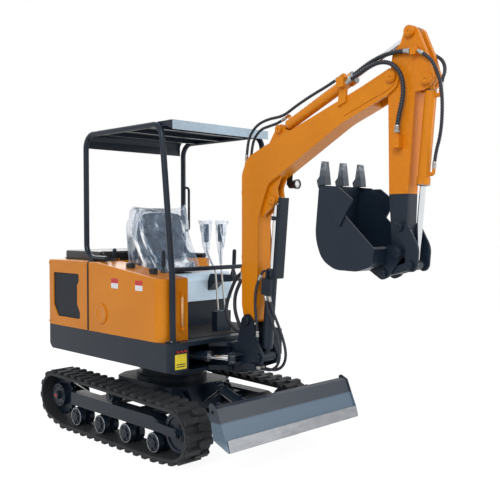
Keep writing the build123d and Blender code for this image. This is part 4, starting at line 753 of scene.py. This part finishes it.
def glands():
    """At each barrel's mouth a ring with spanner notches and a wiper lip, and a weld bead at its foot."""
    for name, (base, eye, _) in CYLINDERS.items():
        node = f"{name}_barrel"
        base, way = np.array(base), np.array(eye) - np.array(base)
        way /= np.linalg.norm(way)
        spots = mesh_points(node) - base
        along = spots @ way
        off = np.linalg.norm(spots - along[:, None] * way, axis=1)
        mouth = along.max()
        rim = off[along > mouth - 0.001] * 1000
        shell, hole = rim.max(), rim.min()
        end = base + way * mouth
        lip = [(shell - 1, -0.5), (shell - 1, 4), (shell - 4, 6.5), (hole + 6, 6.5), (hole + 4, 9),
               (hole + 0.8, 10), (hole + 0.5, 6), (hole + 0.5, -0.5)]
        shapes = [turned(end, way, lip, 40)]
        notched = end - way * 0.012
        for spot in round_about(notched, way, shell + 0.5, 6):
            shapes.append(turned(spot, spot - notched, [(3.4, -2), (3.4, 0.8), (2.4, 1.6)], 12))
        neck = base + way * 0.062
        foot = np.abs(along - 0.066) < 0.006
        reach = off[foot].max() * 1000 if foot.any() else shell
        rings = [(reach - 3, -5), (reach - 1.5, -3.5), (reach - 0.6, -1.5), (reach - 2.0, 0.5)]
        shapes.append(turned(neck, way, rings, 40))
        shaded_by_angle(dressed(f"{node}_gland", shapes, node, BLACK if node == "boom_barrel" else STEEL))


glands()


ROLLERS_X, ROLLERS_Z, ROLLER_FACE = (-470, -135, 200, 535), 118.4, 599
TRACK_MIDDLE = 535
HUB_X, HUB_Z, IDLER_X, IDLER_Z = -745, 248, 780, 225


def roller_faces():
    """On the outer face of each roller a bright worn rim, six ribs and a hub cap; bolts on the drive hubs
    and the idlers, and a small red tag on the right hub."""
    rims, hubs, bolts = [], [], []
    for side in (-1, 1):
        way = (0, side, 0)
        for x in ROLLERS_X:
            spot = np.array(at(x, side * ROLLER_FACE, ROLLERS_Z))
            rim = [(62, -0.5), (62, 1.8), (64, 3.0), (69, 3.0), (70.5, 1.5), (70.5, -0.5)]
            rims.append(turned(spot, way, rim, 40))
            hubs.append(turned(spot, way, [(29, -0.5), (29, 6), (26, 9), (13, 9.5), (11, 13), (5, 14)], 24))
            for angle in np.arange(6) * np.pi / 3 + 0.3:
                out = np.array([math.cos(angle), 0, math.sin(angle)])
                hubs.append(pad_plate(spot + out * 0.045, out * side, np.cross(way, out * side),
                                      (36, 9), 3, 5.5, 1.2))
        for spot in round_about(at(HUB_X, side * (TRACK_MIDDLE + 60), HUB_Z), way, 74, 9):
            bolts += bolt(spot, way, 7)
        for spot in round_about(at(HUB_X, side * (TRACK_MIDDLE + 86), HUB_Z), way, 20, 3, 0.5):
            bolts += bolt(spot, way, 4.5)
        for spot in round_about(at(IDLER_X, side * (TRACK_MIDDLE + 45), IDLER_Z), way, 35, 6):
            bolts += bolt(spot, way, 5)
    shaded_by_angle(dressed("roller_rims", rims, "undercarriage", STEEL))
    shaded_by_angle(dressed("roller_hubs", hubs, "undercarriage", DARK))
    shaded_by_angle(dressed("hub_bolts", bolts, "undercarriage", DARK))
    plate = pad_plate(at(HUB_X, -(TRACK_MIDDLE + 88), HUB_Z), (1, 0, 0), (0, 0, 1), (34, 20), 4, 2.0)
    dressed("drive_hub_tag", [plate], "undercarriage", RED)


# Small things on the house

def flat_colour(name, colour, rough=0.4):
    """A printed or moulded surface whose shade wanders a little."""
    f = Finish(name, specular_ior_level=0.5)
    cloud = f.noise(24, 4, 0.6)
    f.put("Base Color", f.blend(cloud.between(0.35, 0.65), tuple(0.88 * c for c in colour), colour))
    f.put("Roughness", rough + (cloud - 0.5) * 0.2)
    f.bump(f.noise(300, 2), 0.00004)
    return f.material


RED = flat_colour("red_enamel", (0.42, 0.012, 0.010))
YELLOW = flat_colour("yellow_enamel", (0.78, 0.62, 0.02))
AMBER_GLASS = flat_colour("gauge_glass_finish", (0.80, 0.42, 0.16), 0.12)
SEAL = rubber("seal_rubber", (0.012, 0.012, 0.014), 0.5, dust=0.1)
roller_faces()
STICKER_SPLIT = 1.2145, 1.2150


def label_finish():
    """A blank sticker: red above and white below."""
    f = Finish("sticker", specular_ior_level=0.5)
    z = f.axes()[2]
    red = z.between(*STICKER_SPLIT)
    cloud = f.noise(30, 3)
    f.put("Base Color", f.blend(red, (0.70, 0.71, 0.72), (0.50, 0.010, 0.012)))
    f.put("Roughness", 0.34 + (cloud - 0.5) * 0.2)
    return f.material


STICKER = label_finish()
SIDE = -580                              # the right side of the covers
RIGHT_FACE = ((1, 0, 0), (0, 0, 1))      # across and up on it
ROUND_PLATE = at(-130, SIDE - 8, 970)
TANK_FRONT = 600


def tank_dressing():
    """Stickers, the round plate's bolts, the seal between the covers, caps' ribs and the gauge's glass."""
    labels = [pad_plate(at(x, SIDE - 0.2, 1213), *RIGHT_FACE, (88, 74), 5, 0.7, 0.3) for x in (48, 352)]
    dressed("tank_stickers", labels, "house", STICKER)
    bolts = []
    for spot in round_about(ROUND_PLATE, (0, -1, 0), 62, 8, 0.4):
        bolts += bolt(spot, (0, -1, 0), 5)
    for x, z in ((-345, 850), (-345, 1335), (-905, 850), (-905, 1335)):
        bolts += bolt(at(x, SIDE, z), (0, -1, 0), 5)
        bolts += bolt(at(x, -SIDE, z), (0, 1, 0), 5)
    shaded_by_angle(dressed("cover_bolts", bolts, "house", ORANGE))
    rim = [(77, -1), (77, 0.5), (75, 1.6), (50, 1.6), (48, 0.4), (20, 0.4)]
    ring = turned(ROUND_PLATE, (0, -1, 0), rim, 60)
    shaded_by_angle(dressed("round_plate_rim", [ring], "house", ORANGE))
    seals = []
    for side in (-1, 1):
        path = [(-315, side * 580.5, 829), (-315, side * 580.5, 1340), (-315, side * 577, 1354),
                (-315, side * 566, 1361), (-315, side * 345, 1361)]
        line, _ = evenly(spline_points([at(*spot) for spot in path]), 0.006)
        seals.append(bead(line, 0.0085))
    shaded_by_angle(dressed("cover_seals", seals, "house", SEAL))
    knurls = []
    for x, top, r in ((100, 1365, 33), (380, 1336, 30)):
        skirt = np.array(at(x, -470, top - 16))
        for spot in round_about(skirt, (0, 0, 1), r, 16):
            out = (spot - skirt) / (r / 1000)
            knurls.append(pad_plate(spot, np.cross((0, 0, 1), out), (0, 0, 1), (7, 24), 3, 2.4, 0.8))
        crown = [(r - 9, -1), (r - 9, 2.2), (r - 12, 3.2), (8, 3.2), (6, 2)]
        knurls.append(turned(at(x, -470, top), (0, 0, 1), crown, 32))
    shaded_by_angle(dressed("cap_ribs", knurls, "house", BLACK))
    glass = turned(at(TANK_FRONT + 16, -395, 925), (0, 0, 1), [(9.3, 0), (9.3, 214)], 20)
    dressed("gauge_glass", [glass], "house", AMBER_GLASS, smooth=True)
    ends = []
    for z in (909, 1156):
        ends += bolt(at(TANK_FRONT + 26, -395, z), (1, 0, 0), 7)
    shaded_by_angle(dressed("gauge_bolts", ends, "house", ORANGE))


tank_dressing()


def hood_dressing():
    """Latch and rubber seal of the lid, and the bolts of the canopy's feet and roof."""
    latch = pad_plate(at(-924, 0, 1392), (0, -1, 0), (0, 0, 1), (70, 34), 8, 7, 2)
    barrel = turned(at(-931, 0, 1392), (-1, 0, 0), [(11, 0), (11, 4), (9, 6), (3, 6.5)], 24)
    shaded_by_angle(dressed("hood_latch", [latch, barrel], "hood", BLACK))
    lip = []
    for side in (-1, 1):
        path = [at(x, side * 429, 1372) for x in (-905, -635, -365)]
        lip.append(bead(np.array(path), 0.004))
    shaded_by_angle(dressed("hood_seal", lip, "hood", SEAL))
    bolts = []
    for side in (-1, 1):
        for x in (-380, -350):
            bolts += bolt(at(x, side * 500, 1384), (0, 0, 1), 6.5)
        for x in (618, 658):
            bolts += bolt(at(x, side * 528, 835), (0, 0, 1), 6)
    for x in (-400, -60, 280, 560):
        for side in (-1, 1):
            bolts += bolt(at(x, side * 462, 2387), (0, 0, 1), 5.5)
    shaded_by_angle(dressed("canopy_bolts", bolts, "house", ZINC))


hood_dressing()


def nose_dressing():
    """A blank yellow plate with two dark bars, and three red-capped grease points above it, at the right of
    the nose."""
    points = mesh_points("house_frame")
    near = (np.abs(points[:, 1] + 0.46) < 0.12) & (points[:, 2] > 0.60) & (points[:, 2] < 0.80)
    x = float(points[near, 0].max())
    plate = pad_plate((x, -0.470, 0.694), (0, 1, 0), (0, 0, 1), (104, 106), 6, 1.6, 0.5)
    dressed("nose_plate", [plate], "house", YELLOW)
    bars = [pad_plate((x + 0.0016, -0.470, z), (0, 1, 0), (0, 0, 1), (80, 7), 3, 0.5, 0.2)
            for z in (0.660, 0.676)]
    dressed("nose_plate_bars", bars, "house", BLACK)
    caps = []
    nipple = [(6, -1), (6, 5), (4, 7), (4, 14), (6.5, 16), (6.5, 22), (4, 24)]
    for y in (-0.505, -0.470, -0.435):
        caps.append(turned((x, y, 0.766), (1, 0, 0), nipple, 14))
    shaded_by_angle(dressed("grease_caps", caps, "house", RED))


nose_dressing()


def lamp_glass():
    """The work lamp's bowed glass with a fluted pattern, inside its rim."""
    f = Finish("lamp_glass", specular_ior_level=0.6, coat_weight=0.6, coat_roughness=0.05)
    y = f.axes()[1]
    flute = ((y / 0.006).math("FRACT") - 0.5).math("ABSOLUTE")
    f.put("Base Color", f.blend(flute.between(0.1, 0.5), (0.55, 0.56, 0.58), (0.78, 0.79, 0.80)))
    f.put("Roughness", 0.08 + flute * 0.15)
    f.bump(flute, 0.0008)
    bow = [(27.5, -0.5), (27.5, 1), (24, 3.5), (17, 5.6), (9, 6.8), (2, 7.2)]
    glass = turned(at(1264, 99, 1932), (1, 0, 0), bow, 36)
    shaded_by_angle(dressed("lamp_glass", [glass], "boom", f.material), 60)


lamp_glass()


def blade_dressing():
    """A rolled hook on the blade's top corner."""
    turn = np.linspace(-0.4, 1.6 * np.pi, 28)
    loop = np.stack([1262 + 17 * np.cos(turn), np.full(len(turn), -632.0), 512 + 17 * np.sin(turn)], -1)
    hook = bead(np.array([at(*spot) for spot in loop]), 0.0055)
    shaded_by_angle(dressed("blade_hook", [hook], "blade", DARK))


blade_dressing()


# The seat and its film

def seat_pad(name, outline, half, node, seam):
    """A crowned pad: the outline of its side, given from front to back, is carried across and shrinks
    towards both ends as the fifth root of one less the fifth power of the distance, and a sewn seam
    pulls it in on either side."""
    loop = spline_loop(outline)
    centre = loop.mean(0)
    t = np.sin(np.linspace(-1, 1, 90) * np.pi / 2)
    shrink = 0.10 + 0.90 * np.maximum(1 - np.abs(t) ** 5, 0) ** 0.2
    sewn = np.exp(-((np.abs(t) - seam) / 0.022) ** 2)
    scale = shrink - 0.055 * sewn
    crown = 1 + 0.045 * (1 - t ** 2)
    grid = np.empty((len(t), len(loop), 3))
    grid[..., 0] = centre[0] + (loop[:, 0] - centre[0])[None] * (scale * crown)[:, None]
    grid[..., 2] = centre[1] + (loop[:, 1] - centre[1])[None] * (scale * crown)[:, None]
    grid[..., 1] = (t * half)[:, None]
    shape = ended(np.stack([grid[..., 0] / 1000 - SHIFT, grid[..., 1] / 1000, grid[..., 2] / 1000], -1))
    made = piece(name, *shape, outwards=True)
    made.data.materials.append(VINYL)
    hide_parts(node)
    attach(made, "house")
    return made


CORNER_SHARE = 0.42


def spline_loop(corners):
    """A closed line through a polygon's rounded corners: each corner is replaced by a quadratic arc between
    points a set share of the way along its two sides."""
    corners = np.array(corners, float)
    line = []
    for i, corner in enumerate(corners):
        before, after = corners[i - 1], corners[(i + 1) % len(corners)]
        a, b = corner + (before - corner) * CORNER_SHARE, corner + (after - corner) * CORNER_SHARE
        u = np.linspace(0, 1, 9)[:, None]
        line.append((1 - u) ** 2 * a + 2 * u * (1 - u) * corner + u ** 2 * b)
    return np.concatenate(line)


CUSHION = [(86, 1268), (90, 1336), (60, 1358), (-100, 1350), (-222, 1352), (-226, 1266)]
BACK = [(-84, 1366), (-70, 1440), (-108, 1550), (-70, 1660), (-84, 1742), (-172, 1744), (-216, 1540),
        (-252, 1364)]
seat_pad("seat_cushion_pad", CUSHION, 220, "seat_cushion", 0.58)
seat_pad("seat_back_pad", BACK, 214, "seat_back", 0.60)


def film_finish():
    """Clear thin film: nearly see-through, with painted highlights: white and nearly opaque along its creases,
    which a point attribute gives, and in noisy patches.
    """
    f = Finish("clear_film_painted_glints", specular_ior_level=0.7, coat_weight=0.5, coat_roughness=0.05)
    crease = f.node("ShaderNodeAttribute", {"attribute_name": "crease"}, out="Fac")
    glint_patches = f.noise(13, 4, 0.6)
    fine = f.noise(60, 5, 0.7, squeeze=(1, 1, 0.35))
    # painted highlights: the share of white stands in for light glinting on the crinkled film
    share = crease * 1.2 + fine.between(0.58, 0.75) * 0.20 + glint_patches.between(0.48, 0.70) * 0.18
    f.put("Base Color", f.blend(share.between(0.1, 0.8), (0.34, 0.50, 0.72), (0.93, 0.97, 1.0)))
    f.put("Roughness", 0.14 + glint_patches * 0.12)
    f.put("Alpha", share.between(-0.14, 0.80))
    f.bump(fine, 0.0015)
    return f.material


FILM = film_finish()
FOLDS, FINER = 16, 1.24     # how many waves of folds there are, and how much finer each is than the last


def film(name, levels, seed, amount=0.011, hem=0.02, lifted=False):
    """A crumpled bag of thin film, open below. Each level gives its height, its middle along X and Y and its
    half sizes there, in millimetres; between levels these follow a smooth curve, and at angle a the surface
    is at those half sizes times the cosine and sine of a, each to the power 0.62 with its sign kept. Folds
    are sharp waves: the sum of powers of 1 - |sin| of waves in random directions, each shallower the closer
    its folds lie. A lifted bag has a peak at each end of its top."""
    rows, columns = 150, 300
    levels = np.array(levels, float)
    spot = np.linspace(0, 1, len(levels))
    h = np.linspace(0, 1, rows)
    z, mx, my, hx, hy = (smooth_between(h, spot, levels[:, k]) for k in range(5))
    a = np.linspace(0, 2 * np.pi, columns, endpoint=False)
    wave = np.random.default_rng(seed)
    across, up = np.cos(a), np.sin(a)
    shape_x, shape_y = np.sign(across) * np.abs(across) ** 0.62, np.sign(up) * np.abs(up) ** 0.62
    x = mx[:, None] + hx[:, None] * shape_x
    y = my[:, None] + hy[:, None] * shape_y
    tall = np.abs(levels[-1, 0] - levels[0, 0])
    around = (hx + hy)[:, None] * 1.6 * np.sin(a + 0.6)[None] / 1000
    other = (hx + hy)[:, None] * 1.6 * np.cos(a)[None] / 1000
    high = np.broadcast_to((h * tall / 1000)[:, None], around.shape)
    fold, total = np.zeros_like(around), 0.0
    for i in range(FOLDS):
        rate = 5 * FINER ** i
        lean = wave.uniform(-1.1, 1.1, 3)
        phase = wave.uniform(0, 2 * np.pi)
        bend = 0.9 * np.sin(6 * high + 4 * around + wave.uniform(0, 6))
        run = lean[0] * around + lean[1] * other + 0.8 * lean[2] * high
        wavy = np.abs(np.sin(rate * run + phase + bend))
        share = FINER ** (-0.8 * i)
        fold += share * (1 - wavy) ** 2.4
        total += share
    fold /= total
    push = (fold - fold.mean()) * amount * 1000 * 4.2
    loose = np.clip(1 - h / 0.12, 0, 1)[:, None]
    push += loose * hem * 1000 * (0.5 + 0.8 * np.sin(a * 7 + 2 * np.sin(a * 3))[None]) * 0.5
    reach = np.hypot(shape_x, shape_y)[None]
    x = x + push * (shape_x[None] / reach)
    y = y + push * (shape_y[None] / reach)
    lift = 26 * np.abs(up)[None] ** 3 * (1 + 0.5 * up[None]) * h[:, None] ** 4 * lifted
    points = np.stack([x / 1000 - SHIFT, y / 1000, (z[:, None] + lift) / 1000 + 0 * x], -1)
    faces = grid_faces(rows, columns, around=True)
    made = piece(name, points.reshape(-1, 3), faces)
    # the crease attribute places the film's painted highlights
    flat, creased = np.quantile(fold, 0.45), np.quantile(fold, 0.985)
    sharp = np.clip((fold - flat) / (creased - flat), 0, 1)
    layer = made.data.attributes.new("crease", "FLOAT", "POINT")
    layer.data.foreach_set("value", (sharp ** 1.4).astype(np.float32).ravel())
    made.data.materials.append(FILM)
    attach(made, "house")
    return made


def smooth_between(h, spot, values):
    """Values between levels: within each span, mostly a cosine ramp and for the rest a straight one."""
    k = np.clip(np.searchsorted(spot, h, side="right") - 1, 0, len(spot) - 2)
    u = (h - spot[k]) / (spot[k + 1] - spot[k])
    return values[k] + (values[k + 1] - values[k]) * (0.35 * u + 0.65 * (1 - np.cos(np.pi * u)) / 2)


SEAT_LEVELS = [(1278, -78, -8, 200, 272), (1350, -80, -8, 196, 274), (1450, -118, -10, 170, 276),
               (1580, -160, -12, 132, 274), (1690, -158, -12, 108, 268), (1758, -150, -8, 78, 262),
               (1786, -146, -6, 12, 268)]
film("seat_film", SEAT_LEVELS, 5, lifted=True)
for i, (y, foot, lean) in enumerate(((-22, 36, -6), (124, 3, 8))):
    levels = [(1350, 450, y + foot, 12, 12), (1430, 450, y + foot / 4, 15, 15), (1495, 450, y, 26, 27),
              (1585, 450, y, 33, 36), (1650, 452, y + lean, 35, 44), (1684, 455, y + lean * 2, 40, 54)]
    film(f"lever_film_{i + 1}", levels, 11 + i, amount=0.006, hem=0.004)


# Floor, light and background

def seen_plainly(tree, *rays):
    """The largest of the chosen outputs of a Light Path node."""
    path = tree.nodes.new("ShaderNodeLightPath")
    largest = path.outputs[rays[0]]
    for ray in rays[1:]:
        pick = tree.nodes.new("ShaderNodeMath")
        pick.operation = "MAXIMUM"
        tree.links.new(largest, pick.inputs[0])
        tree.links.new(path.outputs[ray], pick.inputs[1])
        largest = pick.outputs[0]
    return largest


def mixed(tree, share, first, second, out):
    """A Mix Shader of two shaders, linked to the output node."""
    mix = tree.nodes.new("ShaderNodeMixShader")
    for k, socket in enumerate((share, first, second)):
        tree.links.new(socket, mix.inputs[k])
    tree.links.new(mix.outputs[0], out.inputs[0])


def stage_finish():
    """White floor: it shows plain white to the camera and in gloss, and keeps the object's shadow."""
    material = bpy.data.materials.new("floor")
    material.use_nodes = True
    tree = material.node_tree
    tree.nodes.clear()
    diffuse = tree.nodes.new("ShaderNodeBsdfDiffuse")
    diffuse.inputs["Color"].default_value = (0.86, 0.86, 0.86, 1)
    glow = tree.nodes.new("ShaderNodeEmission")
    glow.inputs["Strength"].default_value = 1.16
    share = tree.nodes.new("ShaderNodeMath")
    share.operation = "MULTIPLY"
    share.inputs[1].default_value = 0.80
    tree.links.new(seen_plainly(tree, "Is Camera Ray", "Is Glossy Ray"), share.inputs[0])
    mixed(tree, share.outputs[0], diffuse.outputs[0], glow.outputs[0],
          tree.nodes.new("ShaderNodeOutputMaterial"))
    return material


FLOOR_REACH, FLOOR_Z = 60.0, -0.0005


def make_stage():
    corners = [(-1, -1), (1, -1), (1, 1), (-1, 1)]
    floor = piece("floor", [(x * FLOOR_REACH, y * FLOOR_REACH, 0) for x, y in corners], [(0, 1, 2, 3)])
    floor.location.z = FLOOR_Z
    floor.data.materials.append(stage_finish())
    world = bpy.data.worlds.new("world")
    world.use_nodes = True
    bpy.context.scene.world = world
    tree = world.node_tree
    plain = tree.nodes["Background"]
    plain.inputs[0].default_value = (0.95, 0.97, 1.0, 1)
    plain.inputs[1].default_value = 0.50
    white = tree.nodes.new("ShaderNodeBackground")
    white.inputs[0].default_value = (1, 1, 1, 1)
    white.inputs[1].default_value = 1.0
    seen = seen_plainly(tree, "Is Camera Ray", "Is Glossy Ray", "Is Transmission Ray")
    mixed(tree, seen, plain.outputs[0], white.outputs[0], tree.nodes["World Output"])


def make_lamp(name, spot, aim, size, watts):
    data = bpy.data.lights.new(name, "AREA")
    data.size, data.energy = size, watts
    lamp = bpy.data.objects.new(name, data)
    lamp.location = spot
    lamp.rotation_euler = (Vector(aim) - Vector(spot)).to_track_quat("-Z", "Y").to_euler()
    bpy.context.scene.collection.objects.link(lamp)


make_stage()
make_lamp("key", (4.0, -6.5, 6.5), (0, 0, 1.0), 4.5, 440)
make_lamp("fill", (6.5, 3.0, 3.5), (0, 0, 1.2), 4.0, 190)
make_lamp("back", (-6.0, 2.0, 5.0), (0, 0, 1.2), 4.0, 190)
bpy.context.scene.view_settings.view_transform = "Standard"
